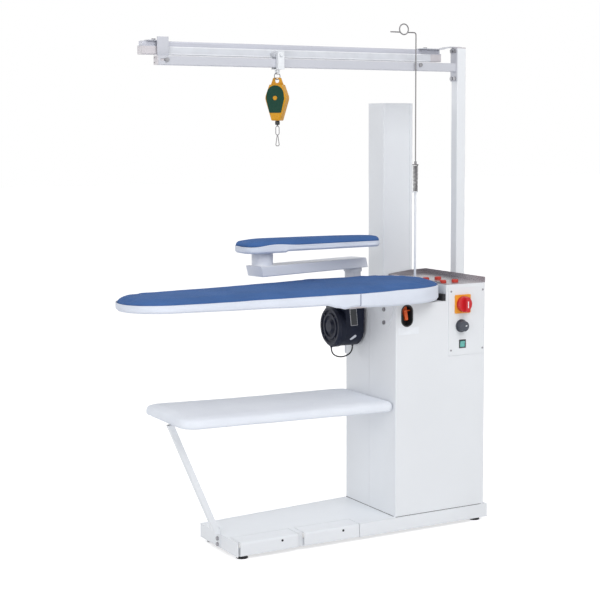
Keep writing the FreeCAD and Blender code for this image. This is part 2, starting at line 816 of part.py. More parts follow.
def make_base():
    sheet = BASE_SHEET
    outline = [
        (0, 0), (BASE_LENGTH, 0), (BASE_LENGTH, BASE_DEPTH), (CABINET_LEFT, BASE_DEPTH), (0, BASE_DEPTH_LEFT),
    ]
    slope = (BASE_DEPTH - BASE_DEPTH_LEFT) / CABINET_LEFT
    inner = [
        (sheet, sheet),
        (BASE_LENGTH - sheet, sheet),
        (BASE_LENGTH - sheet, BASE_DEPTH - sheet),
        (CABINET_LEFT, BASE_DEPTH - sheet),
        (sheet, BASE_DEPTH_LEFT - sheet + slope * sheet),
    ]
    pan = rounded(plan(outline, BASE_LOW, BASE_TOP), BASE_CORNER, Vector(0, 0, 1))
    pan = pan.cut(plan(inner, BASE_LOW - PAST, BASE_UNDER))
    bay_end = PEDAL_START + PEDAL_PITCH + PEDAL_LENGTH + PEDAL_GAP
    wall0 = PEDAL_SETBACK
    wall1 = PEDAL_SETBACK + sheet
    pan = pan.cut(box(sheet, bay_end, -PAST, wall0, BASE_LOW - PAST, BASE_TOP + PAST))
    wall = box(sheet, bay_end + sheet, wall0, wall1, BASE_LOW, BASE_UNDER)
    cheek = box(bay_end, bay_end + sheet, 0, wall1, BASE_LOW, BASE_UNDER)
    pan = fuse([pan, wall, cheek])
    lugs = []
    holes = []
    for index in range(2):
        x0 = PEDAL_START + index * PEDAL_PITCH - PEDAL_GAP
        x1 = x0 + PEDAL_LENGTH + 2 * PEDAL_GAP
        tread = PEDAL_TREAD + PEDAL_GAP
        pan = pan.cut(box(x0, x1, -PAST, tread, BASE_UNDER - PEDAL_CUT, BASE_TOP + PAST))
        for lug0, lug1 in ((x0 - sheet, x0), (x1, x1 + sheet)):
            lugs.append(box(lug0, lug1, PIN_Y - LUG_HALF, PIN_Y + LUG_HALF, PIN_Z - LUG_HALF, BASE_UNDER))
            holes.append(rod((lug0 - PAST, PIN_Y, PIN_Z), (lug1 + PAST, PIN_Y, PIN_Z), PIN_RADIUS))
    floor = plan(outline, BASE_LOW, BASE_LOW + sheet)
    front_bay = box(-PAST, bay_end, -PAST, wall0, FLOOR, BASE_TOP)
    corners = []
    for x, y in FEET:
        pad = box(x - FOOT_INSET, x + FOOT_INSET, y - FOOT_INSET, y + FOOT_INSET, FLOOR, BASE_TOP)
        corners.append(pad.common(floor).cut(front_bay))
    pan = fuse([pan] + lugs + corners)
    for hole in holes:
        pan = pan.cut(hole)
    feet = []
    for x, y in FEET:
        stud_top = BASE_LOW + FOOT_STUD
        pan = pan.cut(rod((x, y, FLOOR), (x, y, stud_top + PAST), FOOT_STUD_RADIUS + BOLT_PLAY))
        pad = cone((x, y, FLOOR), (x, y, BASE_LOW), FOOT_RADIUS, FOOT_RADIUS - FOOT_TAPER)
        feet.append(pad.fuse(rod((x, y, BASE_LOW), (x, y, stud_top), FOOT_STUD_RADIUS)))
    put("base_frame", drilled(pan, STRUT_BOLTS))
    put("feet", group(feet))


def make_pedals():
    pins = []
    reach = PEDAL_GAP + BASE_SHEET
    under = BASE_TOP - PEDAL_SHEET
    for index, name in enumerate(("pedal_left", "pedal_right")):
        x0 = PEDAL_START + index * PEDAL_PITCH
        x1 = x0 + PEDAL_LENGTH
        block = box(x0, x1, 0, PEDAL_TREAD, BASE_TOP - PEDAL_LIP_DROP, BASE_TOP)
        block = rounded(block, PEDAL_BEND, Vector(1, 0, 0), lambda c: c.y < PAST and c.z > BASE_TOP - PAST)
        inner = box(x0 - PAST, x1 + PAST, PEDAL_SHEET, PEDAL_TREAD + PAST, 0, under)
        bend = PEDAL_BEND - PEDAL_SHEET
        inner = rounded(inner, bend, Vector(1, 0, 0), lambda c: c.y < PEDAL_TREAD and c.z > under - PAST)
        knuckle = rod((x0, PIN_Y, PIN_Z), (x1, PIN_Y, PIN_Z), KNUCKLE_RADIUS)
        web = box(x0, x1, PIN_Y - KNUCKLE_RADIUS, PIN_Y + KNUCKLE_RADIUS, PIN_Z, under)
        gap0 = x0 + KNUCKLE_LENGTH
        gap1 = x1 - KNUCKLE_LENGTH
        room = 2 * KNUCKLE_RADIUS
        hinge = knuckle.fuse(web).cut(box(gap0, gap1, PIN_Y - room, PIN_Y + room, PIN_Z - room, under))
        flap = fuse([block.cut(inner), hinge])
        put(name, flap.cut(rod((x0 - PAST, PIN_Y, PIN_Z), (x1 + PAST, PIN_Y, PIN_Z), PIN_RADIUS + RUNNING)))
        pins.append(rod((x0 - reach, PIN_Y, PIN_Z), (x1 + reach, PIN_Y, PIN_Z), PIN_RADIUS))
    put("pedal_pins", group(pins))


def stadium(x, z0, height, width, y0, y1):
    r = width / 2
    middle = box(x - r, x + r, y0, y1, z0 + r, z0 + height - r)
    low = rod((x, y0, z0 + r), (x, y1, z0 + r), r)
    high = rod((x, y0, z0 + height - r), (x, y1, z0 + height - r), r)
    return fuse([middle, low, high])


def through_front(x, z, radius):
    # round cutter through the panel and the cabinet front
    return rod((x, PANEL_FACE - KNOB_RADIUS, z), (x, CABINET_FRONT + CABINET_SHEET + PAST, z), radius)


def screw_holes():
    return fuse([through_front(x, z, SCREW_RADIUS + BOLT_PLAY) for x, z in PANEL_SCREWS])


def make_cabinet():
    sheet = CABINET_SHEET
    left = CABINET_LEFT - PAST
    right = CABINET_RIGHT + PAST
    back = CABINET_BACK + PAST
    above = CABINET_TOP + PAST
    column = box(CABINET_LEFT, CABINET_RIGHT, CABINET_FRONT, CABINET_BACK, BASE_TOP, CABINET_TOP)
    column = rounded(column, CABINET_CORNER, Vector(0, 0, 1))
    room = box(
        CABINET_LEFT + sheet, CABINET_RIGHT - sheet, CABINET_FRONT + sheet, CABINET_BACK - sheet,
        BASE_TOP - PAST, above,
    )
    shell = column.cut(rounded(room, CABINET_CORNER - sheet, Vector(0, 0, 1)))
    shell = shell.cut(box(left, right, 0, back, CABINET_TOP - sheet, above))
    shell = shell.cut(box(left, STEP_X, 0, back, STEP_TOP - sheet, above))
    front = shell.cut(box(left, right, SEAM_Y - SEAM / 2, back, 0, above))
    front = front.cut(stadium(
        SELECTOR_X, SELECTOR_BOTTOM - LOOSE, SELECTOR_HEIGHT + 2 * LOOSE, SELECTOR_WIDTH + 2 * LOOSE,
        0, SELECTOR_DEPTH,
    ))
    front = front.cut(box(
        PANEL_LEFT + PANEL_WINDOW_SIDE, PANEL_RIGHT - PANEL_WINDOW_SIDE, 0, CABINET_FRONT + sheet + PAST,
        PANEL_BOTTOM + PANEL_WINDOW_LOW, PANEL_TOP - PANEL_WINDOW_HIGH,
    ))
    put("cabinet_front", drilled(front.cut(screw_holes()), BRACKET_BOLTS))
    rear = shell.cut(box(left, right, 0, SEAM_Y + SEAM / 2, 0, above))
    rear = rear.cut(rod((left, AXIS_Y, AXIS_Z), (CABINET_LEFT + sheet + PAST, AXIS_Y, AXIS_Z), INLET_RADIUS))
    wall = CHIMNEY_SHEET
    inside = CABINET_BACK - sheet - PAST
    rear = rear.cut(box(
        NECK_X + wall, NECK_X + NECK_WIDTH - wall, inside, back,
        NECK_BOTTOM + wall, NECK_BOTTOM + NECK_HEIGHT - wall,
    ))
    rear = rear.cut(rod((PIVOT_X, inside, BRANCH_Z), (PIVOT_X, back, BRANCH_Z), BRANCH_RADIUS + LOOSE))
    put("cabinet_rear", drilled(rear, POST_BOLTS + SADDLE_BOLTS))
    low = box(CABINET_LEFT, STEP_X, CABINET_FRONT, CABINET_BACK, STEP_TOP - sheet, STEP_TOP)
    step = box(
        STEP_X, STEP_X + sheet, CABINET_FRONT + sheet, CABINET_BACK - sheet, STEP_TOP - sheet, CABINET_TOP,
    )
    high = box(STEP_X, CABINET_RIGHT, CABINET_FRONT, CABINET_BACK, CABINET_TOP - sheet, CABINET_TOP)
    top = fuse([low, step, high]).common(column)
    throat = box(DUCT_X0, DUCT_X1, DUCT_Y0, DUCT_Y1, STEP_TOP - sheet - PAST, STEP_TOP + PAST)
    put("cabinet_top", top.cut(throat))


def make_switch():
    half = SWITCH_PLATE / 2
    face = PANEL_FACE - SWITCH_PLATE_THICK
    plate = box(SWITCH_X - half, SWITCH_X + half, face, PANEL_FACE, SWITCH_Z - half, SWITCH_Z + half)
    plate = rounded(plate, PANEL_CORNER, Vector(0, 1, 0))
    put("switch_plate", plate.cut(through_front(SWITCH_X, SWITCH_Z, KNOB_SHAFT + SHAFT_ROOM)))
    back = face - LOOSE
    front = back - KNOB_DISC
    disc = rod((SWITCH_X, front, SWITCH_Z), (SWITCH_X, back, SWITCH_Z), KNOB_RADIUS)
    disc = disc.makeChamfer(KNOB_CHAMFER, [e for e in disc.Edges if e.BoundBox.YMax < front + PAST])
    grip_face = front - KNOB_GRIP
    reach = KNOB_RADIUS - KNOB_CHAMFER
    grip = box(
        SWITCH_X - KNOB_GRIP_HALF, SWITCH_X + KNOB_GRIP_HALF, grip_face, front + PAST,
        SWITCH_Z - reach, SWITCH_Z + reach,
    )
    grip = rounded(grip, KNOB_GRIP_HALF / 2, Vector(0, 1, 0))
    grip = grip.common(rod((SWITCH_X, grip_face, SWITCH_Z), (SWITCH_X, back, SWITCH_Z), reach))
    stem_end = CABINET_FRONT + SWITCH_STEM
    stem = rod((SWITCH_X, back - PAST, SWITCH_Z), (SWITCH_X, stem_end, SWITCH_Z), KNOB_SHAFT)
    put("main_knob", fuse([disc, grip, stem]))
    side = SWITCH_BODY / 2
    body = box(
        SWITCH_X - side, SWITCH_X + side, CABINET_FRONT, CABINET_FRONT + SWITCH_BODY_DEPTH,
        SWITCH_Z - side, SWITCH_Z + side,
    )
    bore_end = stem_end + SHAFT_END_ROOM
    return body.cut(rod((SWITCH_X, 0, SWITCH_Z), (SWITCH_X, bore_end, SWITCH_Z), KNOB_SHAFT + RUNNING))


def make_dial():
    back = PANEL_FACE - LOOSE
    face = back - DIAL_DEPTH
    flange = rod((DIAL_X, back - DIAL_FLANGE, DIAL_Z), (DIAL_X, back, DIAL_Z), DIAL_RADIUS)
    wide = DIAL_RADIUS - DIAL_STEP
    body = cone((DIAL_X, back - DIAL_FLANGE + PAST, DIAL_Z), (DIAL_X, face, DIAL_Z), wide, wide - DIAL_TAPER)
    for index in range(DIAL_FLUTES):
        angle = 2 * math.pi * index / DIAL_FLUTES
        x = DIAL_X + (wide + PAST / 2) * math.cos(angle)
        z = DIAL_Z + (wide + PAST / 2) * math.sin(angle)
        body = body.cut(rod((x, face - PAST, z), (x, back - DIAL_FLANGE, z), FLUTE_RADIUS))
    pointer = box(
        DIAL_X - PAST, DIAL_X + PAST, face - POINTER_RISE, face + PAST,
        DIAL_Z + POINTER_FROM, DIAL_Z + POINTER_TO,
    )
    stem = rod((DIAL_X, back - DIAL_FLANGE, DIAL_Z), (DIAL_X, CABINET_FRONT + DIAL_STEM, DIAL_Z), KNOB_SHAFT)
    put("thermostat_knob", fuse([flange, body, pointer, stem]))
    housing = rod(
        (DIAL_X, CABINET_FRONT, DIAL_Z), (DIAL_X, CABINET_FRONT + DIAL_BODY_DEPTH, DIAL_Z), DIAL_BODY_RADIUS,
    )
    bore_end = CABINET_FRONT + DIAL_STEM + SHAFT_END_ROOM
    return housing.cut(rod((DIAL_X, 0, DIAL_Z), (DIAL_X, bore_end, DIAL_Z), KNOB_SHAFT + RUNNING))


def rocker_block(border, y0, y1):
    half_w = ROCKER_WIDTH / 2 + border
    half_h = ROCKER_HEIGHT / 2 + border
    return box(ROCKER_X - half_w, ROCKER_X + half_w, y0, y1, ROCKER_Z - half_h, ROCKER_Z + half_h)


def make_rocker():
    lip = PANEL_FACE - ROCKER_LIP_THICK
    bezel = rocker_block(ROCKER_BORDER + ROCKER_LIP, lip, PANEL_FACE)
    case = rocker_block(ROCKER_BORDER, lip, PANEL_FACE + ROCKER_CASE_DEPTH)
    well = rocker_block(SHAFT_ROOM, lip - ROCKER_RISE, PANEL_FACE + ROCKER_WELL_DEPTH)
    pivot_y = PANEL_FACE + ROCKER_PIVOT
    half = ROCKER_WIDTH / 2
    reach = half + ROCKER_LIP
    seat = reach + LOOSE
    case = bezel.fuse(case).cut(well)
    case = case.cut(rod(
        (ROCKER_X - seat, pivot_y, ROCKER_Z), (ROCKER_X + seat, pivot_y, ROCKER_Z), ROCKER_PIN + RUNNING,
    ))
    h = (ROCKER_HEIGHT - SHAFT_ROOM) / 2
    profile = [
        (pivot_y + ROCKER_BACK, ROCKER_Z - h),
        (pivot_y - ROCKER_RISE, ROCKER_Z - h),
        (pivot_y - ROCKER_RISE + ROCKER_DISH, ROCKER_Z),
        (pivot_y - ROCKER_RISE, ROCKER_Z + h),
        (pivot_y + ROCKER_BACK, ROCKER_Z + h),
    ]
    key = side_view(profile, ROCKER_X - half, ROCKER_X + half)
    pin = rod((ROCKER_X - reach, pivot_y, ROCKER_Z), (ROCKER_X + reach, pivot_y, ROCKER_Z), ROCKER_PIN)
    key = key.fuse(pin)
    key.rotate(Vector(ROCKER_X, pivot_y, ROCKER_Z), Vector(1, 0, 0), ROCKER_TILT)
    put("rocker", key)
    return case


def make_controls():
    plate = box(PANEL_LEFT, PANEL_RIGHT, PANEL_FACE, CABINET_FRONT, PANEL_BOTTOM, PANEL_TOP)
    plate = rounded(plate, PANEL_CORNER, Vector(0, 1, 0))
    plate = plate.cut(rocker_block(ROCKER_BORDER + LOOSE, 0, CABINET_FRONT + PAST))
    for x, z in ((SWITCH_X, SWITCH_Z), (DIAL_X, DIAL_Z)):
        plate = plate.cut(through_front(x, z, KNOB_SHAFT + SHAFT_ROOM))
    put("control_panel", plate.cut(screw_holes()))
    bodies = [make_switch(), make_dial(), make_rocker()]
    wall_back = PEDAL_SETBACK + BASE_SHEET
    z0 = BASE_LOW + MICRO_RISE
    for index in range(2):
        x0 = PEDAL_START + index * PEDAL_PITCH + (PEDAL_LENGTH - MICRO_WIDTH) / 2
        bodies.append(box(x0, x0 + MICRO_WIDTH, wall_back, wall_back + MICRO_DEPTH, z0, z0 + MICRO_HEIGHT))
    put("switch_bodies", group(bodies))


def make_selector():
    z0 = SELECTOR_BOTTOM
    x = SELECTOR_X
    wall = SELECTOR_WALL
    lip = SELECTOR_LIP
    depth = CABINET_FRONT + SELECTOR_DEPTH
    mouth = CABINET_FRONT - SELECTOR_LIP_THICK
    half = SELECTOR_WIDTH / 2
    pin_y = CABINET_FRONT + LEVER_PIN_DEPTH
    pin_z = z0 + SELECTOR_HEIGHT - LEVER_PIN_DROP
    cup = stadium(x, z0, SELECTOR_HEIGHT, SELECTOR_WIDTH, mouth, depth)
    rim = stadium(x, z0 - lip, SELECTOR_HEIGHT + 2 * lip, SELECTOR_WIDTH + 2 * lip, mouth, CABINET_FRONT)
    hollow = stadium(
        x, z0 + wall, SELECTOR_HEIGHT - 2 * wall, SELECTOR_WIDTH - 2 * wall, mouth - PAST, depth - wall,
    )
    seat = rod((x - half - PAST, pin_y, pin_z), (x + half + PAST, pin_y, pin_z), LEVER_PIN + RUNNING)
    put("selector_housing", cup.fuse(rim).cut(hollow).cut(seat))
    top = LEVER_TOP_WIDTH / 2
    end = LEVER_END_WIDTH / 2
    outline = [
        (x - top, pin_z + LEVER_ABOVE), (x - end, pin_z - LEVER_BELOW),
        (x + end, pin_z - LEVER_BELOW), (x + top, pin_z + LEVER_ABOVE),
    ]
    blade = front_view(outline, pin_y - LEVER_THICK / 2, pin_y + LEVER_THICK / 2)
    blade = rounded(blade, LEVER_CORNER, Vector(0, 1, 0))
    hub_half = top - LEVER_CORNER
    hub = rod((x - hub_half, pin_y, pin_z), (x + hub_half, pin_y, pin_z), LEVER_HUB)
    pin = rod((x - half + LOOSE, pin_y, pin_z), (x + half - LOOSE, pin_y, pin_z), LEVER_PIN)
    lever = fuse([blade, hub, pin])
    lever.rotate(Vector(x, pin_y, pin_z), Vector(1, 0, 0), -LEVER_LEAN)
    put("selector_lever", lever)


def on_axis(x0, x1, radius):
    return rod((x0, AXIS_Y, AXIS_Z), (x1, AXIS_Y, AXIS_Z), radius)


def about_axis(shape, degrees):
    shape.rotate(Vector(0, AXIS_Y, AXIS_Z), Vector(1, 0, 0), degrees)
    return shape


def make_motor():
    wall = CABINET_LEFT
    end = wall - MOTOR_NECK_LENGTH
    r = MOTOR_RADIUS
    head = box(MOTOR_JOINT, end, AXIS_Y - r, AXIS_Y + r, AXIS_Z, AXIS_Z + MOTOR_RISE)
    neck = on_axis(end - PAST, wall, MOTOR_NECK)
    first_x = MOTOR_BACK + CABLE_INSET
    last_x = first_x + CABLE_SPAN
    gland = rod((last_x, AXIS_Y, CABLE_TOP), (last_x, AXIS_Y, AXIS_Z - r + CABLE_BOSS), CABLE_BOSS)
    body = fuse([on_axis(MOTOR_JOINT, end, r), head, neck, gland])
    bearing = on_axis(MOTOR_JOINT + MOTOR_BEARING_WALL, wall + PAST, SHAFT_RADIUS + RUNNING)
    put("motor_body", body.cut(bearing))
    back = MOTOR_BACK
    groove = back + COVER_GROOVE_DEPTH
    profile = [(MOTOR_JOINT, 0), (MOTOR_JOINT, COVER_RADIUS), (back + COVER_CHAMFER, COVER_RADIUS)]
    radius = COVER_RADIUS - COVER_CHAMFER
    for step in range(2):
        profile.append((back, radius))
        profile.append((back, radius - COVER_RING))
        profile.append((groove, radius - COVER_RING - COVER_SLOPE))
        radius = radius - COVER_RING - COVER_GROOVE
        profile.append((groove, radius + COVER_SLOPE))
    profile.append((back - COVER_BOSS_RISE, COVER_BOSS - COVER_SLOPE))
    profile.append((back - COVER_BOSS_RISE, 0))
    face = polygon_face([(x, AXIS_Y, AXIS_Z + radius) for x, radius in profile])
    cover = face.revolve(Vector(0, AXIS_Y, AXIS_Z), Vector(1, 0, 0), 360)
    screw_z = AXIS_Z + COVER_RADIUS - COVER_CHAMFER - COVER_RING - COVER_GROOVE / 2
    pieces = [cover]
    for index in range(COVER_SCREWS):
        screw = rod((back + PAST, AXIS_Y, screw_z), (groove + PAST, AXIS_Y, screw_z), COVER_SCREW_RADIUS)
        pieces.append(about_axis(screw, 360 * (index + 0.5) / COVER_SCREWS))
    cover_low = AXIS_Z - COVER_RADIUS + COVER_CHAMFER + CABLE_BOSS
    pieces.append(rod((first_x, AXIS_Y, CABLE_TOP), (first_x, AXIS_Y, cover_low), CABLE_BOSS))
    put("motor_end_cover", fuse(pieces))
    half = CABLE_SPAN / 2
    middle = first_x + half
    drops = [
        (-half, 0), (-half, 0.4 * CABLE_DROP), (-half + CABLE_SHOULDER, 0.82 * CABLE_DROP), (0, CABLE_DROP),
        (half - CABLE_SHOULDER, 0.82 * CABLE_DROP), (half, 0.4 * CABLE_DROP), (half, 0),
    ]
    points = [(middle + x, AXIS_Y, CABLE_TOP - drop) for x, drop in drops]
    edges, radii = cord_route(points)
    cable = sweep(edges, Vector(*points[0]), Vector(0, 0, 1), CABLE_RADIUS)
    length = sum(edge.Length for edge in edges)
    print("cable radii", [round(r, 1) for r in radii], "least wanted", 3 * 2 * CABLE_RADIUS)
    wanted = math.pi * CABLE_RADIUS ** 2 * length
    print("cable volume", round(cable.Volume, 1), "section by length", round(wanted, 1))
    put("motor_cable", cable)


def scroll_face(inset, x):
    r0 = SCROLL_RADIUS - inset
    r1 = SCROLL_RADIUS + SCROLL_GROWTH - inset
    low = AXIS_Z - SCROLL_GROWTH
    diagonal = math.sqrt(0.5)
    foot = AXIS_Z - SCROLL_DROP
    tongue = AXIS_Y - inset
    back = Vector(x, AXIS_Y + r0, AXIS_Z)
    top = Vector(x, AXIS_Y, AXIS_Z + r0)
    front = Vector(x, AXIS_Y - r1, low)
    bottom = Vector(x, tongue, AXIS_Z - math.sqrt(r0 * r0 - inset * inset))
    mid_low = Vector(x, AXIS_Y + r0 * diagonal, AXIS_Z - r0 * diagonal)
    mid_high = Vector(x, AXIS_Y + r0 * diagonal, AXIS_Z + r0 * diagonal)
    mid_front = Vector(x, AXIS_Y - r1 * diagonal, low + r1 * diagonal)
    corner0 = Vector(x, AXIS_Y - r1, foot)
    corner1 = Vector(x, tongue, foot)
    edges = [
        Part.Arc(bottom, mid_low, back).toShape(),
        Part.Arc(back, mid_high, top).toShape(),
        Part.Arc(top, mid_front, front).toShape(),
        Part.LineSegment(front, corner0).toShape(),
        Part.LineSegment(corner0, corner1).toShape(),
        Part.LineSegment(corner1, bottom).toShape(),
    ]
    return Part.Face(Part.Wire(edges))


def make_fan():
    sheet = CABINET_SHEET
    x0 = CABINET_LEFT + sheet
    x1 = x0 + SCROLL_WIDTH
    outer = scroll_face(0, x0).extrude(Vector(SCROLL_WIDTH, 0, 0))
    inner = scroll_face(sheet, x0 + sheet).extrude(Vector(SCROLL_WIDTH - 2 * sheet, 0, 0))
    foot = AXIS_Z - SCROLL_DROP
    mouth = AXIS_Y - SCROLL_RADIUS - SCROLL_GROWTH + sheet
    scroll = outer.cut(inner)
    scroll = scroll.cut(box(x0 + sheet, x1 - sheet, mouth, AXIS_Y - sheet, foot - PAST, foot + PAST))
    scroll = scroll.cut(on_axis(x0 - PAST, x0 + sheet + PAST, SHAFT_RADIUS + IMPELLER_GAP))
    put("fan_scroll", scroll.cut(on_axis(x1 - sheet - PAST, x1 + PAST, INLET_RADIUS)))
    wheel0 = x0 + IMPELLER_GAP
    wheel1 = wheel0 + IMPELLER_WIDTH
    shaft = on_axis(MOTOR_JOINT + MOTOR_BEARING_WALL + PAST, wheel1 + MOTOR_BEARING_WALL, SHAFT_RADIUS)
    hub = on_axis(wheel0, wheel1, SHAFT_RADIUS + MOTOR_BEARING_WALL)
    plate = on_axis(wheel0, wheel0 + IMPELLER_PLATE, IMPELLER_RADIUS)
    ring = on_axis(wheel1 - IMPELLER_RING, wheel1, IMPELLER_RADIUS)
    ring = ring.cut(on_axis(wheel0, wheel1, INLET_RADIUS + BLADE_THICK))
    pieces = [shaft, hub, plate, ring]
    for index in range(BLADES):
        blade = box(
            wheel0 + PAST, wheel1 - PAST, AXIS_Y - BLADE_THICK / 2, AXIS_Y + BLADE_THICK / 2,
            AXIS_Z + INLET_RADIUS, AXIS_Z + IMPELLER_RADIUS - PAST,
        )
        pieces.append(about_axis(blade, index * 360 / BLADES))
    put("fan_rotor", fuse(pieces))
    make_duct(x1)


def make_duct(x0):
    sheet = CABINET_SHEET
    x1 = DUCT_X1 + DUCT_MARGIN_X
    front = DUCT_Y0 - DUCT_MARGIN_Y
    back = CABINET_BACK - sheet - IMPELLER_GAP
    low = AXIS_Z - SCROLL_RADIUS + sheet
    top = STEP_TOP - sheet
    block = box(x0, x1, front, back, low, top)
    duct = block.cut(box(x0 + sheet, x1 - sheet, front + sheet, back - sheet, low + sheet, top - sheet))
    duct = duct.cut(box(DUCT_X0, DUCT_X1, DUCT_Y0, DUCT_Y1, top - sheet - PAST, top + PAST))
    duct = duct.cut(on_axis(x0 - PAST, x0 + sheet + PAST, INLET_RADIUS))
    rise_x = x0 + BRANCH_IN
    rise_y = CABINET_BACK - BRANCH_BACK
    bore = BRANCH_RADIUS - BRANCH_WALL
    route = [
        (PIVOT_X, CABINET_BACK, BRANCH_Z), (PIVOT_X, rise_y, BRANCH_Z),
        (rise_x, rise_y, BRANCH_Z), (rise_x, rise_y, low + PAST),
    ]
    branch = wire_frame(route, BRANCH_RADIUS).cut(wire_frame(route, bore))
    reach = 2 * BRANCH_RADIUS
    branch = branch.cut(box(
        PIVOT_X - reach, PIVOT_X + reach, CABINET_BACK, CABINET_BACK + reach,
        BRANCH_Z - reach, BRANCH_Z + reach,
    ))
    branch = branch.cut(block)
    duct = duct.cut(rod((rise_x, rise_y, low - PAST), (rise_x, rise_y, low + sheet + PAST), bore))
    put("suction_duct", fuse([duct, branch]))


def lean_board(shape):
    # lets the free end of the board down about its end over the cabinet
    shape.rotate(Vector(BOARD_END, 0, BOARD_RIGHT_Z), Vector(0, 1, 0), -BOARD_LEAN)
    return shape


def below_board(rise):
    # room under the board's stepped underside
    left = BOARD_TIP - BOARD_NOSE
    right = BOARD_END + BOARD_NOSE
    drop = BOARD_RIGHT_Z - BOARD_NOSE
    points = [
        (left, BOARD_TIP_Z + rise), (BOARD_TIP, BOARD_TIP_Z + rise), (BOARD_SLOPE_FROM, BOARD_LEFT_Z + rise),
        (BOARD_SLOPE_TO, BOARD_RIGHT_Z + rise), (right, BOARD_RIGHT_Z + rise), (right, drop), (left, drop),
    ]
    return front_view(points, BOARD_Y - 2 * BOARD_HALF, BOARD_Y + 2 * BOARD_HALF)


def dome_levels(edge, crown, reach):
    # inset and height of each ring of a padded top
    shares = [(0.0, 0.0), (0.009, 0.2), (0.05, 0.43), (0.13, 0.64), (0.28, 0.82), (0.54, 0.94), (1.0, 1.0)]
    return [(inset * reach, edge + height * crown) for inset, height in shares]


def make_board():
    low = BOARD_RIGHT_Z - SKIRT_HEM
    edge = BOARD_EDGE_Z
    skirt = hull_prism(BOARD, 0, low, edge).cut(below_board(0))
    skirt = skirt.cut(hull_prism(BOARD, SKIRT_THICK, low, edge + PAST).cut(below_board(HEM_THICK)))
    put("board_skirt", lean_board(skirt.cut(hull_prism(BOARD, SKIRT_HEM, low, edge + PAST))))
    pan = hull_prism(BOARD, PAN_INSET, low, PLATE_Z).cut(below_board(PAN_RISE))
    room = hull_prism(BOARD, PAN_INSET + PAN_SHEET, low, PLATE_Z + PAST)
    room = room.cut(below_board(PAN_RISE + PAN_SHEET))
    throat = box(DUCT_X0, DUCT_X1, DUCT_Y0, DUCT_Y1, STEP_TOP - SKIRT_HEM, BOARD_RIGHT_Z + SKIRT_HEM)
    put("board_pan", lean_board(pan.cut(room)).cut(throat))
    plate = hull_prism(BOARD, PAN_INSET, PLATE_Z, PLATE_Z + PLATE_THICK)
    first_y = BOARD_Y - AIR_PITCH_Y * (AIR_ROWS - 1) / 2
    for row in range(AIR_ROWS):
        for column in range(AIR_COLUMNS):
            x = BOARD_TIP + AIR_FROM_TIP + column * AIR_PITCH_X
            y = first_y + row * AIR_PITCH_Y
            plate = plate.cut(rod((x, y, PLATE_Z - PAST), (x, y, PLATE_Z + PLATE_THICK + PAST), AIR_HOLE))
    put("board_plate", lean_board(plate))
    dome = hull_loft(BOARD, dome_levels(edge, BOARD_CROWN, BOARD_CROWN_INSET))
    pad = hull_prism(BOARD, PAN_INSET, PLATE_Z + PLATE_THICK, edge + PAST)
    put("board_cover", lean_board(dome.fuse(pad)))
    put("board_heater", lean_board(heater()))
    above = lean_board(box(
        BOARD_TIP, BOARD_END + BOARD_NOSE, BOARD_Y - 2 * BOARD_HALF, BOARD_Y + 2 * BOARD_HALF,
        BOARD_SEAT, BOARD_SEAT + BOARD_HALF,
    ))
    frame = box(
        DUCT_X0 - GASKET_BORDER, DUCT_X1 + GASKET_BORDER, DUCT_Y0 - GASKET_BORDER, DUCT_Y1 + GASKET_BORDER,
        STEP_TOP, BOARD_EDGE_Z,
    )
    block_front = CABINET_FRONT + BUFFER_IN
    block = box(
        STEP_X - BUFFER_WIDTH, STEP_X, block_front, block_front + BUFFER_DEPTH,
        STEP_TOP, STEP_TOP + BUFFER_HEIGHT,
    )
    put("board_gasket", group([frame.cut(throat).cut(above), block]))
    outline = [
        (BRACKET_FRONT, BOARD_EDGE_Z), (BRACKET_FRONT, BRACKET_KNEE), (BRACKET_FOOT_FRONT, BRACKET_LOW),
        (BRACKET_FOOT_BACK, BRACKET_LOW), (BRACKET_BACK, BRACKET_KNEE), (BRACKET_BACK, BOARD_EDGE_Z),
    ]
    web = side_view(outline, CABINET_LEFT - BRACKET_SHEET, CABINET_LEFT)
    ledge = box(
        CABINET_LEFT - BRACKET_LEDGE, CABINET_LEFT, BRACKET_FRONT, BRACKET_BACK,
        BOARD_SEAT - 2 * BRACKET_SHEET, BOARD_EDGE_Z,
    )
    put("board_bracket", drilled(fuse([web, ledge]).cut(above), BRACKET_BOLTS))


def heater():
    z = PLATE_Z - HEATER_RADIUS
    bend = HEATER_BEND
    x0 = BOARD_TIP + HEATER_FROM_TIP
    x1 = BOARD_SHOULDER_X + HEATER_PAST_SHOULDER
    first_y = BOARD_Y - (HEATER_RUNS - 1) * bend
    edges = []
    for index in range(HEATER_RUNS):
        y = first_y + 2 * bend * index
        start, end = (x1, x0) if index % 2 == 0 else (x0, x1)
        edges.append(Part.LineSegment(Vector(start, y, z), Vector(end, y, z)).toShape())
        if index < HEATER_RUNS - 1:
            bulge = bend if index % 2 else -bend
            middle = Vector(end + bulge, y + bend, z)
            edges.append(Part.Arc(Vector(end, y, z), middle, Vector(end, y + 2 * bend, z)).toShape())
    return sweep(edges, Vector(x1, first_y, z), Vector(-1, 0, 0), HEATER_RADIUS)


def tilt_shelf(shape):
    shape.rotate(Vector(CABINET_LEFT, 0, SHELF_TOP), Vector(0, 1, 0), SHELF_TILT)
    return shape


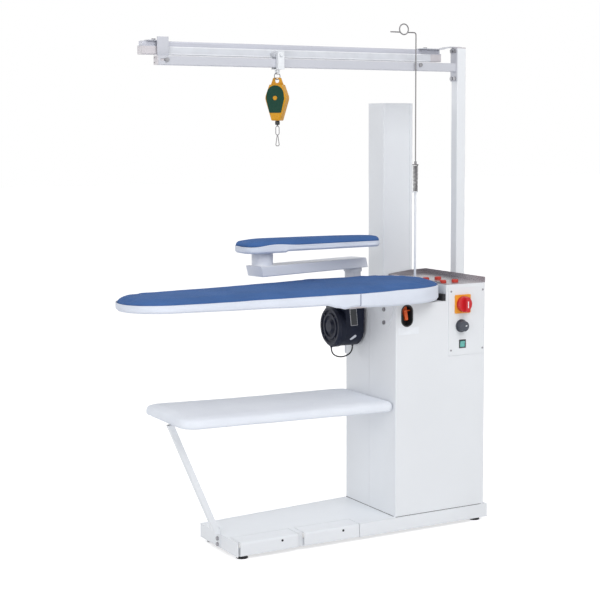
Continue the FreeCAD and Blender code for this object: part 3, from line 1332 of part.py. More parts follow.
def make_shelf():
    top = SHELF_TOP
    low = SHELF_TOP - SHELF_THICK
    # inset and height of each ring of the cushion, as shares of its thickness
    shares = [
        (0.28, 0), (0.09, 0.06), (0.016, 0.19), (0, 0.4),
        (0.016, 0.66), (0.09, 0.84), (0.28, 0.95), (0.69, 1),
    ]
    levels = [(inset * SHELF_THICK, low + height * SHELF_THICK) for inset, height in shares]
    cushion = hull_loft(SHELF, levels)
    board_low = low + SHELF_BOARD_UP
    board = hull_prism(SHELF, SHELF_BOARD_INSET, board_low, board_low + SHELF_BOARD)
    put("shelf_cover", tilt_shelf(cushion.cut(board)))
    put("shelf_panel", tilt_shelf(board))
    under = low - LOOSE
    over = tilt_shelf(box(2 * SHELF_TIP, 2 * CABINET_LEFT, -SHELF_BACK, 2 * SHELF_BACK, under, low + 2 * top))
    half = STRUT_SIDE / 2
    bore = half - STRUT_WALL
    x = STRUT_FOOT_X
    y = STRUT_Y
    start = BASE_TOP - STRUT_SIDE
    lean = math.degrees(math.atan2(x - STRUT_TOP_X, low - BASE_TOP))
    bar = box(x - half, x + half, y - half, y + half, start, top + STRUT_SIDE)
    hollow_from = BASE_TOP + STRUT_PLATE_RISE
    bar = bar.cut(box(x - bore, x + bore, y - bore, y + bore, hollow_from, top + STRUT_SIDE + PAST))
    bar.rotate(Vector(x, y, BASE_TOP), Vector(0, 1, 0), -lean)
    bar = bar.cut(over).cut(box(2 * SHELF_TIP, BASE_LENGTH, -SHELF_BACK, SHELF_BACK, -top, BASE_TOP))
    plate = box(
        -STRUT_PLATE, 0, y - STRUT_PLATE_HALF, y + STRUT_PLATE_HALF,
        STRUT_PLATE_LOW, BASE_TOP + STRUT_PLATE_RISE,
    )
    put("shelf_strut", drilled(fuse([bar, plate]), STRUT_BOLTS))


def make_chimney():
    sheet = CHIMNEY_SHEET
    outer = box(CHIMNEY_LEFT, CHIMNEY_RIGHT, CHIMNEY_FRONT, CHIMNEY_BACK, CHIMNEY_BOTTOM, CHIMNEY_TOP)
    outer = rounded(outer, CHIMNEY_CORNER, Vector(0, 0, 1))
    duct = outer.cut(box(
        CHIMNEY_LEFT + sheet, CHIMNEY_RIGHT - sheet, CHIMNEY_FRONT + sheet, CHIMNEY_BACK - sheet,
        CHIMNEY_BOTTOM + sheet, CHIMNEY_TOP + PAST,
    ))
    behind = CHIMNEY_FRONT + sheet
    put("chimney_duct", duct.cut(box(
        CHIMNEY_LEFT + CHIMNEY_RETURN, CHIMNEY_RIGHT - CHIMNEY_RETURN, CHIMNEY_FRONT - PAST, behind + PAST,
        CHIMNEY_BOTTOM + CHIMNEY_SILL, CHIMNEY_TOP + PAST,
    )))
    lid = box(
        CHIMNEY_LEFT + sheet + LOOSE, CHIMNEY_RIGHT - sheet - LOOSE, behind, behind + sheet,
        CHIMNEY_BOTTOM + sheet + LOOSE, CHIMNEY_TOP,
    )
    neck_top = NECK_BOTTOM + NECK_HEIGHT
    neck = box(NECK_X, NECK_X + NECK_WIDTH, CABINET_BACK, behind + sheet, NECK_BOTTOM, neck_top)
    bore = box(
        NECK_X + sheet, NECK_X + NECK_WIDTH - sheet, CABINET_BACK - PAST, behind + sheet + PAST,
        NECK_BOTTOM + sheet, neck_top - sheet,
    )
    put("chimney_cover", fuse([lid, neck]).cut(bore))


def make_arm():
    top = ARM_BOTTOM - LOOSE
    saddle_top = CABINET_TOP - SADDLE_TOP_GAP
    barrel = rod((PIVOT_X, PIVOT_Y, SOCKET_BOTTOM), (PIVOT_X, PIVOT_Y, top), SOCKET_RADIUS)
    saddle = box(
        PIVOT_X - SADDLE_HALF, PIVOT_X + SADDLE_HALF, CABINET_BACK, CABINET_BACK + SADDLE,
        SOCKET_BOTTOM, saddle_top,
    )
    saddle = rounded(saddle, SADDLE_CORNER, Vector(0, 1, 0))
    neck_half = SADDLE_NECK_HALF
    neck = box(PIVOT_X - neck_half, PIVOT_X + neck_half, CABINET_BACK, PIVOT_Y, SOCKET_BOTTOM, saddle_top)
    collar_low = top - SOCKET_COLLAR_HEIGHT
    collar = rod((PIVOT_X, PIVOT_Y, collar_low), (PIVOT_X, PIVOT_Y, top), SOCKET_RADIUS + SOCKET_COLLAR)
    floor = SOCKET_BOTTOM + SOCKET_FLOOR
    bore = rod((PIVOT_X, PIVOT_Y, floor), (PIVOT_X, PIVOT_Y, top + PAST), SPIGOT_RADIUS + RUNNING)
    air_radius = BRANCH_RADIUS - BRANCH_WALL
    air = rod((PIVOT_X, CABINET_BACK - PAST, BRANCH_Z), (PIVOT_X, PIVOT_Y, BRANCH_Z), air_radius)
    put("arm_socket", drilled(fuse([barrel, saddle, neck, collar]).cut(bore).cut(air), SADDLE_BOLTS))
    half = ARM_WIDTH / 2
    sheet = ARM_SHEET
    z0 = ARM_BOTTOM
    z1 = ARM_TOP
    left = -ARM_LEFT
    right = ARM_RIGHT
    slant = ARM_SLANT
    outer = front_view([(left, z0), (right, z0), (right - slant, z1), (left - slant, z1)], -half, half)
    outer = rounded(outer, ARM_CORNER, Vector(1, 0, 0))
    hollow = [
        (left + sheet, z0 + sheet), (right - 2 * sheet, z0 + sheet),
        (right - slant - sheet, z1 - sheet), (left - slant + 2 * sheet, z1 - sheet),
    ]
    inner = front_view(hollow, -half + sheet, half - sheet)
    spigot = rod((0, 0, SPIGOT_BOTTOM), (0, 0, z0 + PAST), SPIGOT_RADIUS)
    bore = rod((0, 0, SPIGOT_BOTTOM - PAST), (0, 0, z0 + sheet + PAST), SPIGOT_RADIUS - SPIGOT_WALL)
    swivel = rod((-ARM_REACH, 0, z1 - PAST), (-ARM_REACH, 0, SWIVEL_TOP), SWIVEL_RADIUS)
    arm = fuse([outer, spigot, swivel]).cut(inner).cut(bore)
    arm = arm.cut(rod((-ARM_REACH, 0, z1 - sheet - PAST), (-ARM_REACH, 0, z1 + PAST), SWIVEL_AIR))
    arm = arm.cut(rod((-ARM_REACH, 0, z1), (-ARM_REACH, 0, SWIVEL_TOP + PAST), SLEEVE_SPIGOT + RUNNING))
    arm.rotate(Vector(0, 0, 0), Vector(0, 0, 1), ARM_ANGLE)
    arm.translate(Vector(PIVOT_X, PIVOT_Y, 0))
    put("swing_arm", arm)


def make_sleeve():
    edge = SLEEVE_EDGE_Z
    low = SLEEVE_SKIRT_Z
    thick = SLEEVE_SKIRT_THICK
    skirt = hull_prism(SLEEVE, 0, low, edge)
    skirt = skirt.cut(hull_prism(SLEEVE, thick, low + HEM_THICK, edge + PAST))
    put("sleeve_skirt", skirt.cut(hull_prism(SLEEVE, thick + SLEEVE_HEM, low - PAST, edge + PAST)))
    floor = low + PAN_RISE
    seat = edge - SLEEVE_SEAT
    inset = thick + LOOSE
    pan = hull_prism(SLEEVE, inset, floor, seat)
    pan = pan.cut(hull_prism(SLEEVE, inset + PAN_SHEET, floor + PAN_SHEET, seat + PAST))
    x = SLEEVE_X
    y = SLEEVE_Y
    spigot_low = ARM_TOP + SLEEVE_SPIGOT_UP
    flange = rod((x, y, SWIVEL_TOP + LOOSE), (x, y, floor + PAST), SLEEVE_SPIGOT + SLEEVE_FLANGE)
    spigot = rod((x, y, spigot_low), (x, y, floor + PAST), SLEEVE_SPIGOT)
    air = rod((x, y, spigot_low - PAST), (x, y, floor + PAN_SHEET + PAST), SLEEVE_SPIGOT - SPIGOT_WALL)
    put("sleeve_pan", fuse([pan, flange, spigot]).cut(air))
    dome = hull_loft(SLEEVE, dome_levels(edge, SLEEVE_CROWN, SLEEVE_CROWN_INSET))
    put("sleeve_cover", dome.fuse(hull_prism(SLEEVE, inset, seat, edge + PAST)))


def make_rest():
    sheet = REST_SHEET
    z0 = CABINET_TOP
    floor = box(REST_LEFT, CABINET_RIGHT, CABINET_FRONT, REST_BACK, z0, z0 + sheet)
    right = box(CABINET_RIGHT - sheet, CABINET_RIGHT, CABINET_FRONT, REST_BACK, z0, z0 + REST_RIM)
    side_front = CABINET_FRONT + REST_SIDE_FROM
    left = box(REST_LEFT, REST_LEFT + sheet, side_front, REST_BACK, z0, z0 + REST_SIDE_RIM)
    outline = [
        (REST_LEFT, z0), (CABINET_RIGHT, z0), (CABINET_RIGHT, z0 + REST_RIM),
        (REST_LEFT + REST_TAPER, z0 + REST_RIM - REST_TAPER_DROP), (REST_LEFT, z0 + REST_SIDE_RIM),
    ]
    back = front_view(outline, REST_BACK - sheet, REST_BACK)
    put("iron_rest", fuse([floor, right, left, back]))
    studs = []
    stud_top = z0 + sheet + STUD_HEIGHT
    for column in range(2):
        for row in range(2):
            x = STUD_X + column * STUD_STEP_X
            y = STUD_Y + row * STUD_STEP_Y
            stud = rod((x, y, z0 + sheet), (x, y, stud_top), STUD_RADIUS)
            rim = [e for e in stud.Edges if e.BoundBox.ZMin > stud_top - PAST]
            studs.append(stud.makeFillet(STUD_ROUND, rim))
    put("rest_studs", group(studs))


def make_frame():
    half = POST_SIDE / 2
    wall = BOOM_WALL
    front = POST_Y - half
    back = POST_Y + half
    post = box(CABINET_RIGHT, POST_RIGHT, front, back, POST_BOTTOM, POST_TOP)
    post = rounded(post, POST_CORNER, Vector(0, 0, 1))
    post = post.cut(box(
        CABINET_RIGHT + wall, POST_RIGHT - wall, front + wall, back - wall,
        POST_BOTTOM - PAST, POST_TOP + PAST,
    ))
    put("post", drilled(post, PLATE_BOLTS + POST_BOLTS))
    boom = box(BOOM_LEFT, PLATE_FACE + PAST, BOOM_FRONT, BOOM_BACK, BOOM_LOW, BOOM_HIGH)
    boom = rounded(boom, BOOM_CORNER, Vector(1, 0, 0))
    boom = boom.cut(box(
        BOOM_LEFT - PAST, PLATE_FACE, BOOM_FRONT + wall, BOOM_BACK - wall, BOOM_LOW + wall, BOOM_HIGH - wall,
    ))
    plate = box(PLATE_FACE, CABINET_RIGHT, front, back, BOOM_PLATE_Z0, BOOM_PLATE_Z1)
    r = SLOT_HEIGHT / 2
    slot0 = BOOM_LEFT + SLOT_FROM_END + r
    slot1 = slot0 + SLOT_LENGTH - 2 * r
    deep0 = BOOM_FRONT - PAST
    deep1 = BOOM_FRONT + wall + PAST
    slot = fuse([
        box(slot0, slot1, deep0, deep1, SLOT_Z - r, SLOT_Z + r),
        rod((slot0, deep0, SLOT_Z), (slot0, deep1, SLOT_Z), r),
        rod((slot1, deep0, SLOT_Z), (slot1, deep1, SLOT_Z), r),
    ])
    put("boom", drilled(fuse([boom, plate]).cut(slot), PLATE_BOLTS + SLOT_BOLTS + BOOM_BOLTS))
    post_cap = box(CABINET_RIGHT, POST_RIGHT, front, back, POST_TOP, POST_TOP + CAP_THICK)
    gap = wall + LOOSE
    plug = box(
        CABINET_RIGHT + gap + CAP_RELIEF, POST_RIGHT - gap, front + gap, back - gap,
        POST_TOP - CAP_PLUG, POST_TOP + PAST,
    )
    post_cap = rounded(post_cap, POST_CORNER, Vector(0, 0, 1)).fuse(plug)
    end_cap = box(BOOM_LEFT - CAP_THICK, BOOM_LEFT, BOOM_FRONT, BOOM_BACK, BOOM_LOW, BOOM_HIGH)
    end_cap = rounded(end_cap, BOOM_CORNER, Vector(1, 0, 0))
    end_plug = box(
        BOOM_LEFT - PAST, BOOM_LEFT + END_PLUG, BOOM_FRONT + gap, BOOM_BACK - gap,
        BOOM_LOW + gap, BOOM_HIGH - gap,
    )
    caps = [post_cap, end_cap.fuse(end_plug)]
    caps.append(lens_block(LAMP_LEFT, LENS_LEFT))
    caps.append(lens_block(LENS_RIGHT, LAMP_RIGHT))
    put("end_caps", group(caps))
    make_lamp()


def lens_block(x0, x1):
    block = box(x0, x1, LAMP_FRONT, LAMP_BACK, LAMP_BOTTOM, LAMP_LENS_TOP)
    return rounded(block, LAMP_ROUND, Vector(1, 0, 0), lambda c: c.z < LAMP_BOTTOM + PAST)


def make_lamp():
    wall = LAMP_WALL
    room = box(
        LENS_LEFT - PAST, LENS_RIGHT + PAST, LAMP_FRONT + wall, LAMP_BACK - wall,
        LAMP_BOTTOM + wall, LAMP_LENS_TOP + PAST,
    )
    put("lamp_diffuser", lens_block(LENS_LEFT, LENS_RIGHT).cut(room))
    ledge = box(LAMP_LEFT, LAMP_RIGHT, LAMP_FRONT, LAMP_BACK, LAMP_LENS_TOP, LAMP_LENS_TOP + LAMP_LEDGE)
    housing = box(
        LAMP_LEFT + LAMP_HOUSING_IN, LAMP_RIGHT - LAMP_HOUSING_IN,
        LAMP_FRONT + LAMP_STEP, LAMP_BACK - LAMP_STEP, LAMP_LENS_TOP, LAMP_TOP,
    )
    housing = rounded(housing, LAMP_HOUSING_ROUND, Vector(1, 0, 0), lambda c: c.z > LAMP_TOP - PAST)
    strip = box(
        LENS_LEFT + LAMP_STRIP_IN, LENS_RIGHT - LAMP_STRIP_IN,
        LAMP_Y - LAMP_STRIP_HALF, LAMP_Y + LAMP_STRIP_HALF,
        LAMP_LENS_TOP - LAMP_STRIP_THICK, LAMP_LENS_TOP + PAST,
    )
    put("lamp_housing", drilled(fuse([ledge, housing, strip]), LAMP_BOLTS))
    strap_right = SLOT_BOLT_X + STRAP_HALF
    strap = box(
        SLOT_BOLT_X - STRAP_HALF, strap_right, BOOM_BACK, BOOM_BACK + STRAP,
        BOOM_Z - STRAP_LOW, LAMP_TOP + STRAP_RISE,
    )
    foot = box(
        LAMP_BOLT_X - STRAP_FOOT, strap_right, BOOM_BACK, LAMP_Y + STRAP_FOOT_BACK,
        LAMP_TOP, LAMP_TOP + STRAP,
    )
    left = drilled(fuse([strap, foot]), SLOT_BOLTS + LAMP_BOLTS)
    cap_top = POST_TOP + CAP_THICK
    bend0 = LAMP_RIGHT - BRIDGE_BEND
    bend1 = CABINET_RIGHT - BRIDGE_TO_POST
    end = POST_RIGHT - BRIDGE_END
    start = LAMP_RIGHT - BRIDGE_LENGTH
    profile = [
        (start, LAMP_TOP), (bend0, LAMP_TOP), (bend1, cap_top), (end, cap_top), (end, cap_top + STRAP),
        (bend1 - PAST, cap_top + STRAP), (bend0 - PAST, LAMP_TOP + STRAP), (start, LAMP_TOP + STRAP),
    ]
    right = drilled(front_view(profile, POST_Y + BRIDGE_FRONT, LAMP_Y + BRIDGE_BACK), LAMP_BOLTS)
    put("lamp_brackets", group([left, right]))


def make_trolley():
    sheet = TROLLEY_SHEET
    x = TROLLEY_X
    x0 = x - TROLLEY_WIDTH / 2
    x1 = x + TROLLEY_WIDTH / 2
    inner = BOOM_FRONT - TROLLEY_GAP
    near = inner - TROLLEY_CHEEK
    far = BOOM_BACK + TROLLEY_GAP
    floor = BOOM_LOW - TROLLEY_UNDER - sheet
    crown = AXLE_Z + TROLLEY_CROWN
    front = box(x0, x1, near - sheet, near, floor, crown)
    back = box(x0, x1, far, far + sheet, floor, crown)
    bottom = box(x0, x1, near - sheet, far + sheet, floor, floor + sheet)
    cheek_top = crown - TROLLEY_CHEEK_DROP
    cheek0 = box(x0, x0 + TROLLEY_CHEEK_SHEET, near - PAST, inner, floor, cheek_top)
    cheek1 = box(x1 - TROLLEY_CHEEK_SHEET, x1, near - PAST, inner, floor, cheek_top)
    clip_low = CLIP_Z - CLIP_BELOW
    half = LUG_THICK / 2
    clip = box(x - half, x + half, POST_Y - CLIP_HALF, POST_Y + CLIP_HALF, clip_low, floor + PAST)
    clip = rounded(clip, CLIP_ROUND, Vector(1, 0, 0), lambda c: c.z < clip_low + PAST)
    axle = rod((x, near - sheet, AXLE_Z), (x, far + sheet, AXLE_Z), AXLE_RADIUS)
    nut = rod((x, near - sheet - AXLE_NUT_HEIGHT, AXLE_Z), (x, near - sheet, AXLE_Z), AXLE_NUT)
    frame = fuse([front, back, bottom, cheek0, cheek1, clip, axle, nut])
    put("trolley_frame", frame.cut(rod((x0, POST_Y, CLIP_Z), (x1, POST_Y, CLIP_Z), CLIP_HOLE)))
    wide = ROLLER_WIDTH / 2
    bore = AXLE_RADIUS + RUNNING
    put("trolley_roller", tube((x, POST_Y - wide, AXLE_Z), (x, POST_Y + wide, AXLE_Z), ROLLER_RADIUS, bore))
    put("hanger_ring", Part.makeTorus(RING_RADIUS, RING_WIRE, Vector(x, POST_Y, RING_Z), Vector(0, 1, 0)))


def turn_case(shape):
    shape.rotate(Vector(0, 0, 0), Vector(0, 0, 1), CASE_TURN)
    shape.translate(Vector(TROLLEY_X, POST_Y, 0))
    return shape


def across(y0, y1, z, radius):
    # round bar through the balancer, from face to face
    return rod((0, y0, z), (0, y1, z), radius)


def make_balancer():
    top = CASE_TOP
    low = CASE_LOW
    hub_z = CASE_HUB_Z
    corner = CASE_CORNER
    side = CASE_SIDE_RADIUS
    outline = [
        (-CASE_END_HALF + corner, low + corner, corner),
        (CASE_END_HALF - corner, low + corner, corner),
        (CASE_RADIUS - side, hub_z, side),
        (CASE_TOP_HALF - corner, top - corner, corner),
        (-CASE_TOP_HALF + corner, top - corner, corner),
        (-CASE_RADIUS + side, hub_z, side),
    ]
    half = CASE_THICK / 2
    bevel = half - CASE_BEVEL
    straight = half - CASE_ROUND
    levels = [
        (CASE_FACE_INSET, -half), (CASE_BEVEL_INSET, -bevel), (0.0, -straight),
        (0.0, straight), (CASE_BEVEL_INSET, bevel), (CASE_FACE_INSET, half),
    ]
    body = hull_loft(outline, levels, True)
    body.rotate(Vector(0, 0, 0), Vector(1, 0, 0), 90)
    wide = 2 * CASE_RADIUS
    lug = LUG_THICK / 2
    for y0, y1 in ((-wide, -lug), (lug, wide)):
        body = body.cut(box(-wide, wide, y0, y1, top - LUG_HEIGHT, top + PAST))
    body = body.cut(across(-wide, wide, LUG_Z, LUG_HOLE))
    room = DRUM_WIDTH / 2 + DRUM_SIDE_ROOM
    body = body.cut(across(-room, room, hub_z, DRUM_RADIUS + DRUM_ROOM))
    body = body.cut(rod((0, 0, low - PAST), (0, 0, hub_z), CORD_RADIUS + CORD_ROOM))
    hub = cone((0, -half + PAST, hub_z), (0, -half - HUB_RISE, hub_z), HUB_RADIUS, HUB_RADIUS - HUB_TAPER)
    pin_end = -room - DRUM_PIN_END
    front = body.cut(box(-wide, wide, 0, wide, low - PAST, top + PAST)).fuse(hub)
    put("balancer_front", turn_case(front.cut(across(pin_end - PAST, 0, hub_z, DRUM_PIN + LOOSE))))
    back = body.cut(box(-wide, wide, -wide, 0, low - PAST, top + PAST))
    put("balancer_back", turn_case(back.fuse(across(room + PAST, pin_end, hub_z, DRUM_PIN))))
    drum = across(-DRUM_WIDTH / 2, DRUM_WIDTH / 2, hub_z, DRUM_RADIUS)
    drum = drum.cut(across(-room, room, hub_z, DRUM_PIN + RUNNING))
    groove = Part.makeTorus(DRUM_RADIUS + CORD_RADIUS, DRUM_GROOVE, Vector(0, 0, hub_z), Vector(0, 1, 0))
    put("balancer_drum", turn_case(drum.cut(groove)))
    make_hook()


def half_loop(z, above):
    ring = Part.makeTorus(LINK_HALF, HOOK_WIRE, Vector(0, 0, z), Vector(0, 1, 0))
    wide = 2 * LINK_HEIGHT
    z0, z1 = (z - wide, z) if above else (z, z + wide)
    return ring.cut(box(-wide, wide, -wide, wide, z0, z1))


def make_hook():
    stop_top = CASE_LOW - LOOSE
    stop_low = stop_top - STOPPER_HEIGHT
    cord_top = CASE_HUB_Z - DRUM_RADIUS - CORD_RADIUS / 2
    put("balancer_cord", turn_case(rod((0, 0, stop_low), (0, 0, cord_top), CORD_RADIUS)))
    stopper = rod((0, 0, stop_low), (0, 0, stop_top), STOPPER_RADIUS)
    stopper = stopper.makeFillet(STOPPER_ROUND, [e for e in stopper.Edges if len(e.Vertexes) == 1])
    put("cord_stopper", turn_case(stopper.cut(rod((0, 0, stop_low), (0, 0, stop_top), CORD_RADIUS))))
    loop_top = stop_low - LINK_GAP
    loop_low = loop_top - LINK_HEIGHT
    z1 = loop_top - LINK_HALF
    z0 = loop_low + LINK_HALF
    swivel = rod((0, 0, loop_top - HOOK_WIRE), (0, 0, stop_low), LINK_NECK)
    hook_top = loop_low - LINK_GAP
    hook_low = hook_top - HOOK_HEIGHT
    neck = rod((0, 0, hook_top - PAST), (0, 0, loop_low + HOOK_WIRE), LINK_NECK)
    knee = hook_low + HOOK_KNEE
    toe = HOOK_HALF - HOOK_TOE
    hook = wire_frame(
        [
            (-HOOK_NECK, 0, hook_top), (-HOOK_HALF, 0, knee), (-toe, 0, hook_low),
            (toe, 0, hook_low), (HOOK_HALF, 0, knee), (HOOK_NECK, 0, hook_top),
        ],
        HOOK_WIRE,
    )
    sides = [rod((x, 0, z0), (x, 0, z1), HOOK_WIRE) for x in (-LINK_HALF, LINK_HALF)]
    clasp = fuse([half_loop(z1, True), half_loop(z0, False), swivel, neck, hook] + sides)
    clasp.translate(Vector(TROLLEY_X, POST_Y, 0))
    put("snap_hook", clasp)


def spring_point(angle, z):
    return Vector(GUIDE_X + SPRING_RADIUS * math.cos(angle), GUIDE_Y + SPRING_RADIUS * math.sin(angle), z)


def helix_point(turns, z0, z1):
    angle = 2 * math.pi * turns
    climb = (z1 - z0) / SPRING_TURNS
    heading = Vector(-math.sin(angle), math.cos(angle), climb / (2 * math.pi * SPRING_RADIUS)).normalize()
    return spring_point(angle, z0 + climb * turns), heading


def on_guide(z0, z1, radius):
    return rod((GUIDE_X, GUIDE_Y, z0), (GUIDE_X, GUIDE_Y, z1), radius)


def make_guide():
    low = STEP_TOP + GUIDE_LIFT
    disc0 = SPRING_BOTTOM - GUIDE_DISC_THICK
    clips = []
    for z in (low + GUIDE_CLIP_IN, CABINET_TOP - GUIDE_CLIP_IN - GUIDE_CLIP_HEIGHT):
        clips.append(box(
            GUIDE_X, STEP_X, GUIDE_Y - GUIDE_CLIP_HALF, GUIDE_Y + GUIDE_CLIP_HALF, z, z + GUIDE_CLIP_HEIGHT,
        ))
    mast = on_guide(low, disc0 + PAST, GUIDE_MAST)
    put("antenna_mast", fuse([mast, on_guide(disc0, SPRING_BOTTOM, GUIDE_DISC)] + clips))
    z0 = SPRING_BOTTOM + SPRING_WIRE + SPRING_END
    z1 = SPRING_TOP - SPRING_WIRE - SPRING_END
    up = Vector(0, 0, 1)
    foot = spring_point(-SPRING_END_ANGLE, SPRING_BOTTOM)
    head = spring_point(SPRING_END_ANGLE, SPRING_TOP)
    rise = foot + up * SPRING_WIRE
    leave = head - up * SPRING_WIRE
    edges = [Part.LineSegment(foot, rise).toShape()]
    point, heading = helix_point(0, z0, z1)
    edges = edges + biarc(rise, up, point, heading)
    for index in range(1, SPRING_TURNS * 4 + 1):
        after, after_heading = helix_point(index / 4, z0, z1)
        edges = edges + biarc(point, heading, after, after_heading)
        point = after
        heading = after_heading
    edges = edges + biarc(point, heading, leave, up)
    edges.append(Part.LineSegment(leave, head).toShape())
    put("antenna_spring", sweep(edges, foot, up, SPRING_WIRE / 2))
    pitch = (z1 - z0) / SPRING_TURNS
    end_gap = (rise - helix_point(1, z0, z1)[0]).Length
    print("spring least gap", round(min(pitch, end_gap) - SPRING_WIRE, 2), "least wanted 0.4")
    disc = on_guide(SPRING_TOP, SPRING_TOP + GUIDE_DISC_THICK, GUIDE_DISC)
    sleeve = on_guide(SPRING_TOP, SPRING_TOP + GUIDE_SLEEVE, GUIDE_MAST)
    stalk = on_guide(SPRING_TOP, GUIDE_TOP - GUIDE_BEND, GUIDE_ROD)
    upright_end = Vector(GUIDE_X, GUIDE_Y, GUIDE_TOP - GUIDE_BEND)
    side_end = Vector(GUIDE_X - GUIDE_BEND, GUIDE_Y, GUIDE_TOP)
    elbow = sweep([arc_between(upright_end, up, side_end)], upright_end, up, GUIDE_ROD)
    ring_x = GUIDE_X - GUIDE_RING_IN
    ring = Part.makeTorus(
        GUIDE_RING, GUIDE_ROD, Vector(ring_x, GUIDE_Y, GUIDE_TOP + GUIDE_RING_UP), Vector(0, 1, 0),
    )
    chord = math.sqrt(GUIDE_RING ** 2 - GUIDE_RING_UP ** 2)
    tail_x = GUIDE_X - GUIDE_TAIL
    near = rod(tuple(side_end), (ring_x + chord, GUIDE_Y, GUIDE_TOP), GUIDE_ROD)
    tail = rod((ring_x - chord, GUIDE_Y, GUIDE_TOP), (tail_x, GUIDE_Y, GUIDE_TOP), GUIDE_ROD)
    tip = Part.makeSphere(GUIDE_ROD, Vector(tail_x, GUIDE_Y, GUIDE_TOP))
    put("antenna_rod", fuse([disc, sleeve, stalk, elbow, ring, near, tail, tip]))


def make_fasteners():
    places = BRACKET_BOLTS + STRUT_BOLTS + PLATE_BOLTS + POST_BOLTS + SADDLE_BOLTS
    places = places + SLOT_BOLTS + BOOM_BOLTS + LAMP_BOLTS
    pieces = [bolt(*place) for place in places]
    for x, z in PANEL_SCREWS:
        crown = (x, PANEL_FACE - SCREW_HEAD_HEIGHT, z)
        head = cone((x, PANEL_FACE, z), crown, SCREW_HEAD, SCREW_HEAD - SCREW_TAPER)
        pieces.append(head.fuse(rod((x, PANEL_FACE, z), (x, PANEL_FACE + SCREW_LENGTH, z), SCREW_RADIUS)))
    put("fasteners", group(pieces))


make_base()
make_pedals()
make_cabinet()
make_controls()
make_selector()
make_motor()
make_fan()
make_board()
make_shelf()
make_chimney()
make_arm()
make_sleeve()
make_rest()
make_frame()
make_trolley()
make_balancer()
make_guide()
make_fasteners()

for name, shape in PARTS.items():
    if not shape.isValid():
        print("not valid:", name)
    shape.exportStep("parts/" + name + ".step")
print(len(PARTS), "parts written")
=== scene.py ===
import json
import math

import bmesh
import bpy
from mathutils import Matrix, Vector, noise

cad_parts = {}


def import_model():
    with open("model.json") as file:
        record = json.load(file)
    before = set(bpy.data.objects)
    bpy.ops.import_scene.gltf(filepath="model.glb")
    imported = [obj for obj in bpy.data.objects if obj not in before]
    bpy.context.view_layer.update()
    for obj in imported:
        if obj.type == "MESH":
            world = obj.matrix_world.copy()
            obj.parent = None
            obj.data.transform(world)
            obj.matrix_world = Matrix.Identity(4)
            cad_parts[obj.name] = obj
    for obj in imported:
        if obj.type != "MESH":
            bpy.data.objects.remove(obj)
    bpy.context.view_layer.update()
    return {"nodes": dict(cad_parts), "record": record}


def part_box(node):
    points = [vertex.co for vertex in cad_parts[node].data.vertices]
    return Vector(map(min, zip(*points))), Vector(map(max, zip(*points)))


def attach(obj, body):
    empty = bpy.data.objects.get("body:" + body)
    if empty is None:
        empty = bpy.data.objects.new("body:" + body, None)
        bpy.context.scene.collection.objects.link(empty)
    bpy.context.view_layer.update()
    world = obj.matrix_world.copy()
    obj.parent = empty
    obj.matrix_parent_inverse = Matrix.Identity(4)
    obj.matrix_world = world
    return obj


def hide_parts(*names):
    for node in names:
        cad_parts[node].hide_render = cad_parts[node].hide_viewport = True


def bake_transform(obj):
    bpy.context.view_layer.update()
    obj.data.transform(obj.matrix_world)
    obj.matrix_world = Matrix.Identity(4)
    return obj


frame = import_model()
NODES = frame["nodes"]
SCENE = bpy.context.scene

# The drawing's own places are in millimetres; the corner of the post ties them to the loaded frame.
POST_CORNER = Vector((999.0, 187.0, 480.0))
SHIFT = POST_CORNER / 1000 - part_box("post")[0]


def at(x, y, z):
    """A place of the drawing, in metres in the loaded frame."""
    return Vector((x, y, z)) / 1000 - SHIFT


# Camera
CAMERA_AT = at(-2046.3, -4135.9, 1420.2)
CAMERA_TURN = (1.4803, 0.0014, -0.5258)
LENS = 86.1
SENSOR = 36.0
SHIFT_X = -0.050
SHIFT_Y = -0.066

# Studio lamps: place, aim, side of the square in metres, power
LAMPS = {
    "key": ((0.3, -3.3, 3.7), (0.1, 0, 0.7), 2.4, 72.0),
    "fill": ((-3.4, -2.4, 1.5), (0.2, 0, 0.6), 2.4, 40.0),
    "back": ((-1.2, 3.0, 2.4), (-0.2, 0.1, 0.45), 2.0, 22.0),
}

# White room: the world's light on the part, and the floor's own light where it is seen
AMBIENT = 0.54
FLOOR_GLOW = 0.62
FLOOR_COLOUR = (0.86, 0.86, 0.87, 1)
FLOOR_HALF = 30.0

# Motor cable
CABLE_ROUTE = [
    (513.5, 268, 645), (513.5, 268, 629.4), (528.5, 268, 613), (557.5, 268, 606),
    (586.5, 268, 613), (601.5, 268, 629.4), (601.5, 268, 645),
]
CABLE_DIAMETER = 0.005

# Main board: circles (x, y, radius) whose common outline is the board's edge
BOARD = [(-218, 108, 140), (430, 53, 150), (637, 103, 185), (637, 113, 185), (430, 163, 150)]
BOARD_MIDDLE_Y = 108.0
BOARD_EDGE = 882.0
BOARD_HINGE = (822.0, 830.0)
BOARD_LEAN = 0.5
# Height of the skirt's foot along the board (x, z), before the board's lean
FOOT_FRONT = [
    (-358, 857), (66, 852), (200, 849), (295, 849), (335, 839), (362, 833), (385, 838.5),
    (405, 839.5), (462, 833.5), (560, 830), (822, 830),
]
FOOT_BACK = [(-358, 857), (290, 847), (375, 830), (822, 830)]
# Levels of the board's pad (inset, z) from its underside to its crown
BOARD_LEVELS = [
    (7, 877.8), (1.5, 878.2), (0, 880.5), (0, 883.5), (1.2, 887), (4, 890), (10, 892.6),
    (24, 894.6), (50, 895.6), (85, 896.2), (120, 896.5),
]
BOARD_POINTS = 260
# The pad is held in the simulation from this far below the edge
BOARD_HELD = 2.5
# How a pad swells: mesh size in metres, pressure, longest move in metres
BOARD_SWELL = (0.006, 4.0, 0.005)
BOARD_STRIP_POINTS = 520
BOARD_STRIP_THICK = 0.0016
BOARD_TURN_IN = 6.0
SKIRT_SEAM_X = 413.0
SKIRT_ROWS = 14
